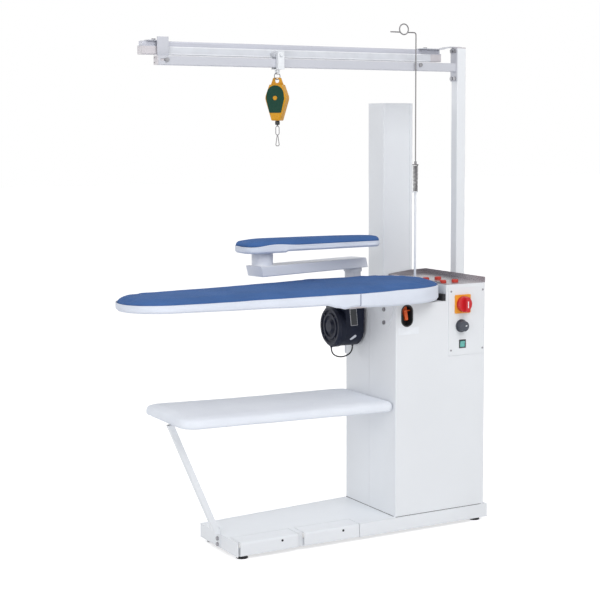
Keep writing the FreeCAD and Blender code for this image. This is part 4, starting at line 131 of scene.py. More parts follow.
# Stitched seam of the skirt, in metres
SEAM_HALF = 0.0013
SEAM_RISE = 0.0011
SEAM_GAP = 0.0001

# Skirts: gap to the outline, height of the part that is drawn under, and the rolled top edge
# as a bump (height, centre, width) over the depth below the edge
SKIRT_GAP = 0.5
SKIRT_DRAWN = 7.0
SKIRT_ROLL = (1.3, 2.0, 1.8)

# Form of the board's skirt: bumps along x (height, centre, width), unevenness (height, length)
BOARD_TOP_RISE = 1.5
BOARD_TOP_UNEVEN = (1.2, 90)
BOARD_TIP = (0.8, -230, 190)
BOARD_TIP_WAVE = 62.0
BOARD_BELLY = 1.2
BOARD_CREASE = (0.9, 45)
SEAM_DENT = (-2.6, SKIRT_SEAM_X, 3.2)
SEAM_PULL = (1.2, SKIRT_SEAM_X - 16, 9)
RIPPLE = (0.8, 700, 120)
RIPPLE_WAVE = 60.0

# Sleeve board
SLEEVE = [(195, 246.8, 45), (665, 268.8, 43), (195, 290.8, 45)]
SLEEVE_EDGE = 1027.0
SLEEVE_LOW = 1003.0
SLEEVE_MIDDLE_Y = 268.0
SLEEVE_LEVELS = [
    (6, 1019.5), (1.5, 1020), (0, 1023), (0, 1027.5), (1.5, 1032), (5, 1036.5), (11, 1039.5),
    (20, 1041), (36, 1041.6),
]
SLEEVE_POINTS = 200
SLEEVE_HELD = 4.5
SLEEVE_SWELL = (0.005, 4.0, 0.005)
SLEEVE_STRIP_POINTS = 360
SLEEVE_STRIP_ROWS = 12
SLEEVE_STRIP_THICK = 0.0014
SLEEVE_TURN_IN = 5.0

# Form of the sleeve board's skirt; its foot steps up by that much between two x
SLEEVE_TOP_DROP = 2.0
SLEEVE_LIFT = (5.0, 262, 55)
SLEEVE_SAG = (-2.5, 170, 40)
SLEEVE_STEP = (4.0, 296, 312)
SLEEVE_BELLY = 0.9
SLEEVE_CREASE = (0.7, 35)
GATHER_OUT = (2.0, 300, 7)
GATHER_IN = (-1.6, 310, 5)

# Shelf
SHELF = [(-123, 70, 60), (595, 35, 25), (595, 318, 25), (-158, 318, 25)]
SHELF_TOP = 474.0
SHELF_THICK = 32.0
SHELF_LOW = SHELF_TOP - SHELF_THICK
SHELF_HINGE = (620.0, 474.0)
SHELF_TILT = 1.2
SHELF_LEVELS = [
    (18, SHELF_LOW), (8, SHELF_LOW + 0.8), (3, SHELF_LOW + 4), (0.6, SHELF_LOW + 10), (0, SHELF_LOW + 16),
    (1, SHELF_TOP - 5), (4, SHELF_TOP + 1), (10, SHELF_TOP + 3.6), (20, SHELF_TOP + 5),
]
SHELF_POINTS = 220
# Held below this height over the underside, and right of this x, against the cabinet
SHELF_HELD = 14.0
SHELF_WALL_X = 606.0
SHELF_SWELL = (0.006, 2.0, 0.003)

# Cloth of the swelling pads
SWELL_FRAMES = 20
SWELL_STIFF = 30.0
SWELL_BEND = 4.0
SMOOTHING = 0.5
SMOOTH_ROUNDS = 4

# Spring of the cable guide
GUIDE_AXIS = (815.0, 183.0)
SPRING_LOW = 1200.0
SPRING_HIGH = 1294.0
SPRING_RADIUS = 8.75
SPRING_WIRE = 2.5
SPRING_TURNS = 20
TURN_STEPS = 20
WIRE_SIDES = 8
# Share of the spring's height that is eased, so that its end turns lie closer
SPRING_EASED = 0.15

# Balancer
CASE_AXIS = (266.0, 206.0)
CASE_TURN = math.radians(-50)
CASE_FACE = 20.0
# Label and hub: circles (across the face, z, radius)
CASE_LABEL = [(0, 1541, 31), (-3, 1530, 30), (3, 1530, 30), (-19, 1482, 3), (19, 1482, 3)]
CASE_HUB = (0, 1529.15, 7.5)
CORD_LOW = 1438.2
CORD_HIGH = 1502.65
# Twisted rope: strands, turns, steps, sides of a strand, and in metres a strand's offset and radius
ROPE_STRANDS = 3
ROPE_TURNS = 5
ROPE_STEPS = 60
STRAND_SIDES = 6
STRAND_OFFSET = 0.00048
STRAND_RADIUS = 0.00052

# Motor: axis (y, z), radius, plate (x0, x1, z0, z1) and tag (circles along the motor and down round it)
MOTOR_AXIS = (268.0, 721.0)
MOTOR_RADIUS = 72.0
MOTOR_GAP = 0.1
MOTOR_PLATE = (549, 578, 728, 790)
PLATE_SLANT = 0.098
PLATE_EDGE = 2.5
PLATE_THICK = 0.8
MOTOR_TAG = [(561, 44, 5), (573, 33, 5.5)]

# Small pieces: rectangles (x0, x1, z0, z1), circles (x, z, radius) and the faces that carry them
FACE_GAP = 0.05
LABEL_FACE = 5.95
FRONT_LABEL = (630, 714, 712, 738)
LIP_FACE = -0.05
PEDAL_SCREWS = {"left": (168, 56, 4), "right": (404, 56, 4)}
# The painted shade line round the cabinet's foot lies flat on the base: (x0, x1, y0, y1)
CABINET_SHADE_Z = 70.0
CABINET_SHADE_LINE = (619.5, 999.5, 5.5, 345.5)
WORK_LAMP_FACE = 229.95
# Pale strips on the lamp's front at these heights are painted highlights: the upper one for the lit ledge,
# the lower one over the shaded rounding of the lens's foot
LAMP_HIGHLIGHTS = {"upper": 1692, "lower": 1669.6}
LAMP_HIGHLIGHT_X = (-150, 909)
LAMP_HIGHLIGHT_HALF = 1.8
# Pins on the boom's end: (y, z, radius)
BOOM_END = -181.05
CAP_PINS = {"upper": (215, 1655, 2), "lower": (215, 1640, 2)}
SWITCH_MARK = (896, 900, 794, 818)
SWITCH_SCREW = (876, 795, 2.4)
DIAL_FACE = -20.35
DIAL_MARK = [(898, 729, 2), (901, 730, 2)]

# Steps round a full turn when an outline is traced, and points round a small plate
OUTLINE_STEPS = 1440
PLATE_POINTS = 72


# Materials


def linear(*screen):
    """A colour given as screen values from 0 to 255."""
    shares = [value / 255 for value in screen]
    return tuple(((c + 0.055) / 1.055) ** 2.4 if c > 0.04045 else c / 12.92 for c in shares)


class Finish:
    """A material whose colour, roughness and relief come from its nodes."""

    def __init__(self, name, colour, rough, metal=0.0):
        self.made = bpy.data.materials.new(name)
        self.made.use_nodes = True
        self.nodes = self.made.node_tree.nodes
        self.shader = self.nodes["Principled BSDF"]
        self.colour = colour
        self.rough = rough
        self.shader.inputs["Metallic"].default_value = metal
        self.place = self.nodes.new("ShaderNodeTexCoord").outputs["Object"]
        self.normal = None

    def link(self, source, target):
        self.made.node_tree.links.new(source, target)

    def stretched(self, scale):
        """The object's own places, scaled along each axis."""
        node = self.nodes.new("ShaderNodeMapping")
        node.inputs["Scale"].default_value = scale
        self.link(self.place, node.inputs["Vector"])
        return node.outputs["Vector"]

    def noise(self, scale, detail=3.0, stretch=None):
        node = self.nodes.new("ShaderNodeTexNoise")
        node.inputs["Scale"].default_value = scale
        node.inputs["Detail"].default_value = detail
        self.link(self.stretched(stretch) if stretch else self.place, node.inputs["Vector"])
        return node.outputs["Fac"]

    def wave(self, axis, period):
        """Ridges across one axis, with that spacing in metres."""
        node = self.nodes.new("ShaderNodeTexWave")
        node.bands_direction = axis
        node.inputs["Scale"].default_value = 2 * math.pi / (20 * period)
        node.inputs["Distortion"].default_value = 0.4
        self.link(self.place, node.inputs["Vector"])
        return node.outputs["Fac"]

    def sum(self, first, second, kind="ADD"):
        node = self.nodes.new("ShaderNodeMath")
        node.operation = kind
        self.link(first, node.inputs[0])
        self.link(second, node.inputs[1])
        return node.outputs["Value"]

    def ranged(self, value, low, high, start=0.3, end=0.7):
        node = self.nodes.new("ShaderNodeMapRange")
        node.inputs["From Min"].default_value = start
        node.inputs["From Max"].default_value = end
        node.inputs["To Min"].default_value = low
        node.inputs["To Max"].default_value = high
        self.link(value, node.inputs["Value"])
        return node.outputs["Result"]

    def paint(self, value, spread):
        """Colour that varies with value, from darker to lighter."""
        node = self.nodes.new("ShaderNodeMix")
        node.data_type = "RGBA"
        dark = tuple(c * (1 - spread) for c in self.colour)
        light = tuple(min(1.0, c * (1 + spread)) for c in self.colour)
        node.inputs["A"].default_value = (*dark, 1)
        node.inputs["B"].default_value = (*light, 1)
        self.link(self.ranged(value, 0, 1), node.inputs["Factor"])
        self.link(node.outputs["Result"], self.shader.inputs["Base Color"])
        return self

    def gloss(self, value, spread):
        """Roughness that varies with value."""
        result = self.ranged(value, self.rough - spread, self.rough + spread)
        self.link(result, self.shader.inputs["Roughness"])
        return self

    def soften(self, radius):
        """Edges that catch the light as if slightly rounded."""
        node = self.nodes.new("ShaderNodeBevel")
        node.samples = 4
        node.inputs["Radius"].default_value = radius
        self.normal = node.outputs["Normal"]
        self.link(self.normal, self.shader.inputs["Normal"])
        return self

    def relief(self, value, depth, strength):
        """Raised texture of that depth in metres."""
        node = self.nodes.new("ShaderNodeBump")
        node.inputs["Distance"].default_value = depth
        node.inputs["Strength"].default_value = strength
        self.link(value, node.inputs["Height"])
        if self.normal:
            self.link(self.normal, node.inputs["Normal"])
        self.normal = node.outputs["Normal"]
        self.link(self.normal, self.shader.inputs["Normal"])
        return self

    def set(self, **values):
        """Plain values of the shader, by its inputs' names with _ for a space."""
        for name, value in values.items():
            self.shader.inputs[name.replace("_", " ")].default_value = value
        return self


def powder_coat(name, colour):
    made = Finish(name, colour, 0.42)
    made.paint(made.noise(3.0), 0.018)
    made.gloss(made.noise(60.0), 0.05)
    made.soften(0.0012)
    return made.relief(made.noise(700.0, 2.0), 0.00012, 0.35)


def cloth(name, colour, period, spread, sheen):
    made = Finish(name, colour, 0.85)
    threads = made.sum(made.sum(made.wave("X", period), made.wave("Y", period)), made.wave("Z", period))
    fleck = made.sum(made.noise(7.0, 4.0), made.noise(900.0, 2.0), "MULTIPLY")
    made.paint(made.ranged(fleck, 0, 1, 0.15, 0.38), spread)
    made.gloss(made.noise(40.0), 0.06)
    made.relief(made.noise(28.0, 4.0), 0.0012, 0.3)
    made.relief(threads, 0.00035, 0.6)
    return made.set(Sheen_Weight=sheen, Sheen_Roughness=0.45, Specular_IOR_Level=0.12)


def plastic(name, colour, rough):
    made = Finish(name, colour, rough)
    made.paint(made.noise(25.0), 0.05)
    made.gloss(made.noise(90.0), 0.06)
    made.soften(0.0008)
    return made.relief(made.noise(1200.0, 2.0), 0.00006, 0.5)


def brushed(name, colour, rough, along, metal=1.0):
    made = Finish(name, colour, rough, metal)
    streak = made.noise(1.0, 5.0, along)
    made.paint(streak, 0.10)
    made.gloss(streak, 0.09)
    made.soften(0.0008)
    return made.relief(streak, 0.00005, 0.5)


def casting(name, colour, rough):
    made = Finish(name, colour, rough)
    made.paint(made.noise(18.0), 0.22)
    made.gloss(made.noise(45.0), 0.10)
    made.soften(0.0015)
    made.relief(made.noise(420.0, 3.0), 0.0003, 0.5)
    return made.set(Specular_IOR_Level=0.25)


def rubber(name, colour):
    made = Finish(name, colour, 0.72)
    made.paint(made.noise(30.0), 0.15)
    made.gloss(made.noise(120.0), 0.08)
    return made.relief(made.noise(900.0), 0.00012, 0.5)


def plywood(name, colour):
    made = Finish(name, colour, 0.6)
    made.paint(made.noise(1.0, 5.0, (6, 90, 300)), 0.18)
    made.gloss(made.noise(50.0), 0.06)
    return made.relief(made.noise(1.0, 4.0, (12, 300, 300)), 0.0002, 0.4)


FINISHES = {
    "white_paint": powder_coat("white_paint", linear(231, 234, 238)),
    "grey_paint": powder_coat("grey_paint", linear(198, 200, 208)),
    "arm_paint": powder_coat("arm_paint", linear(228, 231, 239)),
    "blue_cloth": cloth("blue_cloth", linear(72, 108, 165), 0.0014, 0.07, 0.02),
    "white_cloth": cloth("white_cloth", linear(228, 234, 246), 0.0016, 0.025, 0.04),
    # shelf_cloth is the white cloth made lighter: painted light against the shade that falls on the shelf
    # under the board
    "shelf_cloth": cloth("shelf_cloth", linear(240, 245, 254), 0.0016, 0.02, 0.04),
    "stainless": brushed("stainless", linear(168, 164, 168), 0.30, (6, 260, 260)),
    "bright_wire": brushed("bright_wire", linear(124, 122, 124), 0.34, (60, 60, 300)),
    "dark_steel": brushed("dark_steel", linear(92, 92, 96), 0.36, (120, 120, 120)),
    "zinc_plate": brushed("zinc_plate", linear(150, 150, 154), 0.40, (150, 150, 150), 0.8),
    "grey_rubber": rubber("grey_rubber", linear(38, 38, 42)),
    "red_silicone": rubber("red_silicone", linear(190, 60, 48)),
    "yellow_plastic": plastic("yellow_plastic", linear(236, 160, 44), 0.5),
    "red_plastic": plastic("red_plastic", linear(200, 30, 40), 0.38),
    "grey_plastic": plastic("grey_plastic", linear(70, 74, 84), 0.45),
    "green_plastic": plastic("green_plastic", linear(104, 182, 174), 0.34),
    "black_plastic": plastic("black_plastic", linear(40, 42, 44), 0.48),
    "orange_plastic": plastic("orange_plastic", linear(238, 96, 34), 0.35),
    "black_casting": casting("black_casting", linear(21, 27, 45), 0.5),
    "raw_aluminium": brushed("raw_aluminium", linear(194, 196, 206), 0.45, (4, 200, 200), 0.15),
    "case_yellow": plastic("case_yellow", linear(208, 148, 10), 0.34).set(Specular_IOR_Level=0.3),
    "nylon": plastic("nylon", linear(216, 219, 225), 0.45),
    "ply": plywood("ply", linear(204, 178, 138)),
    "label_green": plastic("label_green", linear(12, 60, 46), 0.5).set(Specular_IOR_Level=0.2),
    "plate_metal": brushed("plate_metal", linear(168, 168, 172), 0.32, (40, 40, 400), 0.7),
    "plate_dark": plastic("plate_dark", linear(62, 64, 66), 0.42),
    "tag_white": plastic("tag_white", linear(214, 217, 224), 0.55),
    "label_pale": plastic("label_pale", linear(237, 241, 246), 0.4),
    "cap_grey": plastic("cap_grey", linear(206, 202, 206), 0.45),
    # Pale white for the printed marks, and for the painted highlight strips on the lamp
    "trim_white": plastic("trim_white", linear(238, 240, 244), 0.4),
    "thread": cloth("thread", linear(140, 148, 176), 0.0008, 0.05, 0.02),
}

# Nodes whose shade differs from the rest of their slot
SHADES = {"swing_arm": "arm_paint", "lamp_brackets": "grey_paint", "end_caps": "cap_grey"}
for part in frame["record"]["subparts"]:
    shade = SHADES.get(part["node"], part["material_slot"])
    for place in NODES[part["node"]].material_slots:
        place.material = FINISHES[shade].made


# Mesh helpers


def piece(name, mesh, finish, body=None):
    """A shown object with its material and its place on a body."""
    made = bpy.data.objects.new(name, mesh)
    SCENE.collection.objects.link(made)
    made.data.materials.append(FINISHES[finish].made)
    if body:
        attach(made, body)
    return made


def mesh_of(name, build, smooth=True):
    """A mesh that a function builds in a bmesh."""
    work = bmesh.new()
    build(work)
    bmesh.ops.recalc_face_normals(work, faces=work.faces)
    mesh = bpy.data.meshes.new(name)
    work.to_mesh(mesh)
    work.free()
    for face in mesh.polygons:
        face.use_smooth = smooth
    return mesh


def outline(circles, count, inset=0.0):
    """Evenly spaced points round the circles' common outline, each with its outward direction."""
    corners = []
    for k in range(OUTLINE_STEPS + 1):
        turn = 2 * math.pi * k / OUTLINE_STEPS
        out = Vector((math.cos(turn), math.sin(turn)))
        x, y, r = max(circles, key=lambda c: c[0] * out.x + c[1] * out.y + c[2])
        corners.append((Vector((x, y)) + out * (r - inset), out))
    lengths = [0.0]
    for (a, _), (b, _) in zip(corners, corners[1:]):
        lengths.append(lengths[-1] + (b - a).length)
    found = []
    k = 0
    for n in range(count):
        want = lengths[-1] * n / count
        while lengths[k + 1] < want:
            k += 1
        span = lengths[k + 1] - lengths[k]
        part = (want - lengths[k]) / span if span else 0.0
        place = corners[k][0].lerp(corners[k + 1][0], part)
        found.append((place, corners[k][1].lerp(corners[k + 1][1], part).normalized()))
    return found


def bridge(work, rings):
    """Faces between closed rings of equal count."""
    for low, high in zip(rings, rings[1:]):
        for k, corner in enumerate(low):
            n = (k + 1) % len(low)
            work.faces.new((corner, low[n], high[n], high[k]))


def ease(value, start, end):
    """From 0 at the start to 1 at the end, level at both."""
    part = min(1.0, max(0.0, (value - start) / (end - start)))
    return part * part * (3 - 2 * part)


def bump(value, height, centre, width):
    """A smooth rise to that height round a centre."""
    return height * math.exp(-(((value - centre) / width) ** 2))


def uneven(place, height, length, layer):
    """Soft unevenness along the cloth, with swells of about that length."""
    return height * noise.noise((place.x / length, place.y / length, layer))


def along(value, points):
    """The height at a value, eased from point to point."""
    height = points[0][1]
    for (start, low), (end, high) in zip(points, points[1:]):
        if value > start:
            height = low + (high - low) * ease(value, start, end)
    return height


def sloped(hinge, degrees):
    """A turn about a level edge (x, z): the free end on the left rises with the angle."""
    cos = math.cos(math.radians(degrees))
    sin = math.sin(math.radians(degrees))

    def moved(spot):
        dx = spot.x - hinge[0]
        dz = spot.z - hinge[1]
        return Vector((hinge[0] + dx * cos + dz * sin, spot.y, hinge[1] - dx * sin + dz * cos))

    return moved


def flat(spot):
    """A place that stays where it is."""
    return spot


leaned = sloped(BOARD_HINGE, -BOARD_LEAN)
tilted = sloped(SHELF_HINGE, SHELF_TILT)


# Padded covers


def pad(name, circles, levels, count, moved):
    """A closed pad whose outline shrinks by level (inset, z) from underside to crown."""

    def build(work):
        rings = []
        for inset, z in levels:
            ring = []
            for place, _ in outline(circles, count, inset):
                ring.append(work.verts.new(at(*moved(Vector((place.x, place.y, z))))))
            rings.append(ring)
        bridge(work, rings)
        work.faces.new(rings[0])
        work.faces.new(rings[-1])

    return mesh_of(name, build)


def swell(made, voxel, pressure, cap, held):
    """Cloth filled from inside: the cover of a stuffed pad, held where held(point) is true."""
    remesh = made.modifiers.new("remesh", "REMESH")
    remesh.mode = "VOXEL"
    remesh.voxel_size = voxel
    graph = bpy.context.evaluated_depsgraph_get()
    made.data = bpy.data.meshes.new_from_object(made.evaluated_get(graph))
    made.modifiers.clear()
    for face in made.data.polygons:
        face.use_smooth = True
    group = made.vertex_groups.new(name="held")
    group.add([v.index for v in made.data.vertices if held(v.co)], 1.0, "REPLACE")
    rest = [v.co.copy() for v in made.data.vertices]
    sim = made.modifiers.new("cloth", "CLOTH")
    sim.settings.use_pressure = True
    sim.settings.uniform_pressure_force = pressure
    sim.settings.effector_weights.gravity = 0.0
    sim.settings.vertex_group_mass = "held"
    sim.settings.tension_stiffness = SWELL_STIFF
    sim.settings.compression_stiffness = SWELL_STIFF
    sim.settings.bending_stiffness = SWELL_BEND
    sim.point_cache.frame_end = SWELL_FRAMES
    for n in range(1, SWELL_FRAMES + 1):
        SCENE.frame_set(n)
    graph = bpy.context.evaluated_depsgraph_get()
    moved = [v.co.copy() for v in made.evaluated_get(graph).data.vertices]
    made.modifiers.clear()
    for point, start, end in zip(made.data.vertices, rest, moved):
        step = end - start
        if step.length > cap:
            step *= cap / step.length
        point.co = start + step
    SCENE.frame_set(1)
    smooth = made.modifiers.new("smooth", "SMOOTH")
    smooth.factor = SMOOTHING
    smooth.iterations = SMOOTH_ROUNDS
    graph = bpy.context.evaluated_depsgraph_get()
    made.data = bpy.data.meshes.new_from_object(made.evaluated_get(graph))
    made.modifiers.clear()
    made.modifiers.new("fine", "SUBSURF").render_levels = 1


def skirt(name, circles, count, rows, top, low, shape, turn_in, moved):
    """A strip of cloth round an outline: its top edge is rolled, its foot is drawn under."""

    def build(work):
        rings = [[] for _ in range(rows + 1)]
        for place, out in outline(circles, count):
            high = top(place)
            foot = low(place)
            for row, ring in enumerate(rings):
                part = row / rows
                depth = (high - foot) * part
                roll = bump(depth, *SKIRT_ROLL)
                under = turn_in * ease(depth, high - foot - SKIRT_DRAWN, high - foot)
                reach = SKIRT_GAP + roll + shape(place, part) - under
                spot = place + out * reach
                ring.append(work.verts.new(at(*moved(Vector((spot.x, spot.y, high - depth))))))
        bridge(work, rings)

    mesh = mesh_of(name, build)
    area = sum(face.area for face in mesh.polygons)
    return mesh, area


def thicken(strip, thick):
    """Gives a strip of cloth its thickness, on its inner side."""
    solid = strip.modifiers.new("thick", "SOLIDIFY")
    solid.thickness = thick
    solid.offset = -1.0
    strip.modifiers.new("fine", "SUBSURF").render_levels = 1


def board_top(place):
    """Height of the skirt's top edge, which waves a little near the board's tip."""
    wave = bump(place.x, *BOARD_TIP) * math.sin(place.x / BOARD_TIP_WAVE)
    return BOARD_EDGE + BOARD_TOP_RISE + wave + uneven(place, *BOARD_TOP_UNEVEN, 3.0)


def board_low(place):
    """Height of the skirt's foot."""
    return along(place.x, FOOT_FRONT if place.y < BOARD_MIDDLE_Y else FOOT_BACK)


def board_shape(place, part):
    """How far the skirt stands out, from its top edge (part 0) to its foot (part 1)."""
    reach = BOARD_BELLY * math.sin(math.pi * part) + uneven(place, *BOARD_CREASE, 2.2 * part)
    if place.y < BOARD_MIDDLE_Y:
        reach += bump(place.x, *SEAM_DENT) + bump(place.x, *SEAM_PULL) * part
        reach += bump(place.x, *RIPPLE) * math.sin(9 * part + place.x / RIPPLE_WAVE)
    return reach


def sleeve_top(place):
    """The sleeve's skirt is pulled up beside its post, and sags towards the tip."""
    lift = bump(place.x, *SLEEVE_LIFT) + bump(place.x, *SLEEVE_SAG)
    return SLEEVE_EDGE - SLEEVE_TOP_DROP + lift * (1 if place.y < SLEEVE_MIDDLE_Y else 0.5)


def sleeve_low(place):
    """The foot hangs lower over the post than along the rest."""
    drop, start, end = SLEEVE_STEP
    return SLEEVE_LOW - drop * (1 - ease(place.x, start, end))


def sleeve_shape(place, part):
    """A slight belly, fine creases, and a gather where the foot changes height."""
    gather = (bump(place.x, *GATHER_OUT) + bump(place.x, *GATHER_IN)) * part
    return SLEEVE_BELLY * math.sin(math.pi * part) + uneven(place, *SLEEVE_CREASE, 3.0 * part) + gather


def make_seam(strip):
    """The stitched line where the skirt's ends meet, laid on the strip's own surface."""
    seam_x = at(SKIRT_SEAM_X, 0, 0).x
    middle = at(0, BOARD_MIDDLE_Y, 0).y
    columns = range(0, len(strip.vertices), SKIRT_ROWS + 1)
    front = [k for k in columns if strip.vertices[k].co.y < middle]
    start = min(front, key=lambda k: abs(strip.vertices[k].co.x - seam_x))

    def build(work):
        rows = []
        for point in strip.vertices[start:start + SKIRT_ROWS]:
            back = point.co + Vector((0, -SEAM_GAP, 0))
            fore = back + Vector((0, -SEAM_RISE, 0))
            side = Vector((SEAM_HALF, 0, 0))
            rows.append([work.verts.new(v) for v in (back - side, back + side, fore + side, fore - side)])
        bridge(work, rows)
        work.faces.new(rows[0])
        work.faces.new(rows[-1])

    piece("skirt_seam", mesh_of("skirt_seam", build), "thread", "stand")


def make_board():
    mesh = pad("board_pad", BOARD, BOARD_LEVELS, BOARD_POINTS, leaned)
    cover = piece("board_pad", mesh, "blue_cloth", "stand")
    fixed = at(BOARD_HINGE[0], 0, BOARD_EDGE - BOARD_HELD)
    slope = math.tan(math.radians(BOARD_LEAN))
    swell(cover, *BOARD_SWELL, lambda p: p.z - (p.x - fixed.x) * slope < fixed.z)
    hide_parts("board_cover")
    mesh, area = skirt(
        "board_valance", BOARD, BOARD_STRIP_POINTS, SKIRT_ROWS, board_top, board_low, board_shape,
        BOARD_TURN_IN, leaned,
    )
    strip = piece("board_valance", mesh, "white_cloth", "stand")
    thicken(strip, BOARD_STRIP_THICK)
    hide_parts("board_skirt")
    make_seam(mesh)


def make_sleeve():
    mesh = pad("sleeve_pad", SLEEVE, SLEEVE_LEVELS, SLEEVE_POINTS, flat)
    cover = piece("sleeve_pad", mesh, "blue_cloth", "sleeve")
    foot = at(0, 0, SLEEVE_EDGE - SLEEVE_HELD).z
    swell(cover, *SLEEVE_SWELL, lambda p: p.z < foot)
    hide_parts("sleeve_cover")
    mesh, area = skirt(
        "sleeve_valance", SLEEVE, SLEEVE_STRIP_POINTS, SLEEVE_STRIP_ROWS, sleeve_top, sleeve_low,
        sleeve_shape, SLEEVE_TURN_IN, flat,
    )
    strip = piece("sleeve_valance", mesh, "white_cloth", "sleeve")
    thicken(strip, SLEEVE_STRIP_THICK)
    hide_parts("sleeve_skirt")


def make_shelf():
    mesh = pad("shelf_pad", SHELF, SHELF_LEVELS, SHELF_POINTS, tilted)
    cover = piece("shelf_pad", mesh, "shelf_cloth", "stand")
    fixed = at(SHELF_HINGE[0], 0, SHELF_LOW + SHELF_HELD)
    slope = math.tan(math.radians(SHELF_TILT))
    wall = at(SHELF_WALL_X, 0, 0).x
    swell(cover, *SHELF_SWELL, lambda p: p.x > wall or p.z + (p.x - fixed.x) * slope < fixed.z)
    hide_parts("shelf_cover")


# Cable, spring and cord


def make_cable():
    curve = bpy.data.curves.new("motor_lead", "CURVE")
    curve.dimensions = "3D"
    line = curve.splines.new("NURBS")
    line.points.add(len(CABLE_ROUTE) - 1)
    for point, place in zip(line.points, CABLE_ROUTE):
        point.co = (*at(*place), 1)
    line.order_u = 3
    line.use_endpoint_u = True
    line.resolution_u = 12
    curve.bevel_depth = CABLE_DIAMETER / 2
    curve.bevel_resolution = 4
    lead = piece("motor_lead", curve, "grey_rubber", "stand")
    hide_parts("motor_cable")


def wound(work, axis, radius, wire, low, high, turns):
    """A round wire wound on a cylinder, its turns a little closer at both ends."""
    steps = TURN_STEPS * turns
    rings = []
    for k in range(steps + 1):
        part = k / steps
        lift = ease(part, -0.02, 1.02) * SPRING_EASED + part * (1 - SPRING_EASED)
        turn = 2 * math.pi * turns * part
        out = Vector((math.cos(turn), math.sin(turn), 0))
        centre = at(axis[0], axis[1], low + wire / 2 + (high - low - wire) * lift) + out * (radius / 1000)
        ring = []
        for s in range(WIRE_SIDES):
            angle = 2 * math.pi * s / WIRE_SIDES
            off = (out * math.cos(angle) + Vector((0, 0, 1)) * math.sin(angle)) * (wire / 2000)
            ring.append(work.verts.new(centre + off))
        rings.append(ring)
    bridge(work, rings)
    work.faces.new(rings[0])
    work.faces.new(rings[-1])


def make_spring():
    def build(work):
        wound(work, GUIDE_AXIS, SPRING_RADIUS, SPRING_WIRE, SPRING_LOW, SPRING_HIGH, SPRING_TURNS)

    coil = piece("guide_coil", mesh_of("guide_coil", build), "bright_wire")
    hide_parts("antenna_spring")
    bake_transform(coil)


def make_cord():
    """Twisted wire rope between the drum and the stopper."""

    def build(work):
        for n in range(ROPE_STRANDS):
            rings = []
            for k in range(ROPE_STEPS + 1):
                part = k / ROPE_STEPS
                turn = 2 * math.pi * (n / ROPE_STRANDS + ROPE_TURNS * part)
                out = Vector((math.cos(turn), math.sin(turn), 0))
                centre = at(*CASE_AXIS, CORD_LOW + (CORD_HIGH - CORD_LOW) * part) + out * STRAND_OFFSET
                ring = []
                for s in range(STRAND_SIDES):
                    angle = 2 * math.pi * s / STRAND_SIDES
                    side = Vector((math.cos(angle), math.sin(angle), 0)) * STRAND_RADIUS
                    ring.append(work.verts.new(centre + side))
                rings.append(ring)
            bridge(work, rings)
            work.faces.new(rings[0])
            work.faces.new(rings[-1])

    rope = piece("balancer_rope", mesh_of("balancer_rope", build), "bright_wire")
    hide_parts("balancer_cord")
    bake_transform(rope)


# Bare labels, painted highlight strips, a painted shade line and screw heads


def slab(circles, thick, place, bevel=0.0):
    """A thin plate with that outline; place(u, v, height) gives each point."""

    def build(work):
        rings = []
        for inset, height in ((0.0, 0.0), (0.0, thick - bevel), (bevel, thick)):
            edge = outline(circles, PLATE_POINTS, inset)
            rings.append([work.verts.new(place(p.x, p.y, height)) for p, _ in edge])
        bridge(work, rings)
        work.faces.new(rings[0])
        work.faces.new(rings[-1])

    return build


def case_place(u, v, height):
    """A point on the balancer's front: u across, v up, height off the face."""
    reach = CASE_FACE + FACE_GAP + height
    x = CASE_AXIS[0] + u * math.cos(CASE_TURN) + reach * math.sin(CASE_TURN)
    y = CASE_AXIS[1] + u * math.sin(CASE_TURN) - reach * math.cos(CASE_TURN)
    return at(x, y, v)


def rounded(x0, x1, z0, z1, corner):
    """The four corner circles of a rectangle."""
    return [(x, z, corner) for x in (x0 + corner, x1 - corner) for z in (z0 + corner, z1 - corner)]


def on_front(y):
    """Places on a face that looks forward, at that depth."""
    return lambda u, v, height: at(u, y - height, v)


def on_boom_end(u, v, height):
    """Places on the boom's end cap, which looks to the left."""
    return at(BOOM_END - height, u, v)


def before(node):
    """Places just in front of a node's foremost face."""
    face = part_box(node)[0].y

    def place(u, v, height):
        spot = at(u, 0, v)
        spot.y = face - (FACE_GAP + height) / 1000
        return spot

    return place


def lying(u, v, height):
    """Places on the base's top, under the cabinet's edge."""
    return at(u, v, CABINET_SHADE_Z + height)


def on_motor(u, v, height):
    """A point on the motor's round front: u along its axis, v down round it from its foremost line."""
    reach = MOTOR_RADIUS + MOTOR_GAP + height
    turn = v / MOTOR_RADIUS
    return at(u, MOTOR_AXIS[0] - reach * math.cos(turn), MOTOR_AXIS[1] - reach * math.sin(turn))


def plate(name, circles, thick, place, finish, slot, body, bevel=0.0):
    piece(name, mesh_of(name, slab(circles, thick, place, bevel), False), finish, body)


def slanted(inset, corner):
    """The outline of the motor's plate, which leans to one side."""
    x0, x1, z0, z1 = MOTOR_PLATE
    middle = (z0 + z1) / 2
    upright = rounded(x0 + inset, x1 - inset, z0 + inset, z1 - inset, corner)
    return [(x - (z - middle) * PLATE_SLANT, z, r) for x, z, r in upright]


def make_labels():
    plate("balancer_label", CASE_LABEL, 0.4, case_place, "label_green", "green_plastic", "balancer", 0.2)
    plate("balancer_hub", [CASE_HUB], 2.4, case_place, "case_yellow", "case_yellow", "balancer", 0.8)
    motor_face = MOTOR_AXIS[0] - MOTOR_RADIUS - MOTOR_GAP
    rim = on_front(motor_face)
    plate("motor_plate_rim", slanted(0, 2), PLATE_THICK, rim, "plate_metal", "raw_aluminium", "stand", 0.3)
    field = on_front(motor_face - PLATE_THICK)
    plate("motor_plate", slanted(PLATE_EDGE, 1), 0.3, field, "plate_dark", "black_plastic", "stand", 0.1)
    plate("motor_tag", MOTOR_TAG, 1.0, on_motor, "tag_white", "nylon", "stand", 0.3)
    label = rounded(*FRONT_LABEL, 2)
    plate("front_label", label, 0.3, on_front(LABEL_FACE), "label_pale", "nylon", "stand", 0.1)


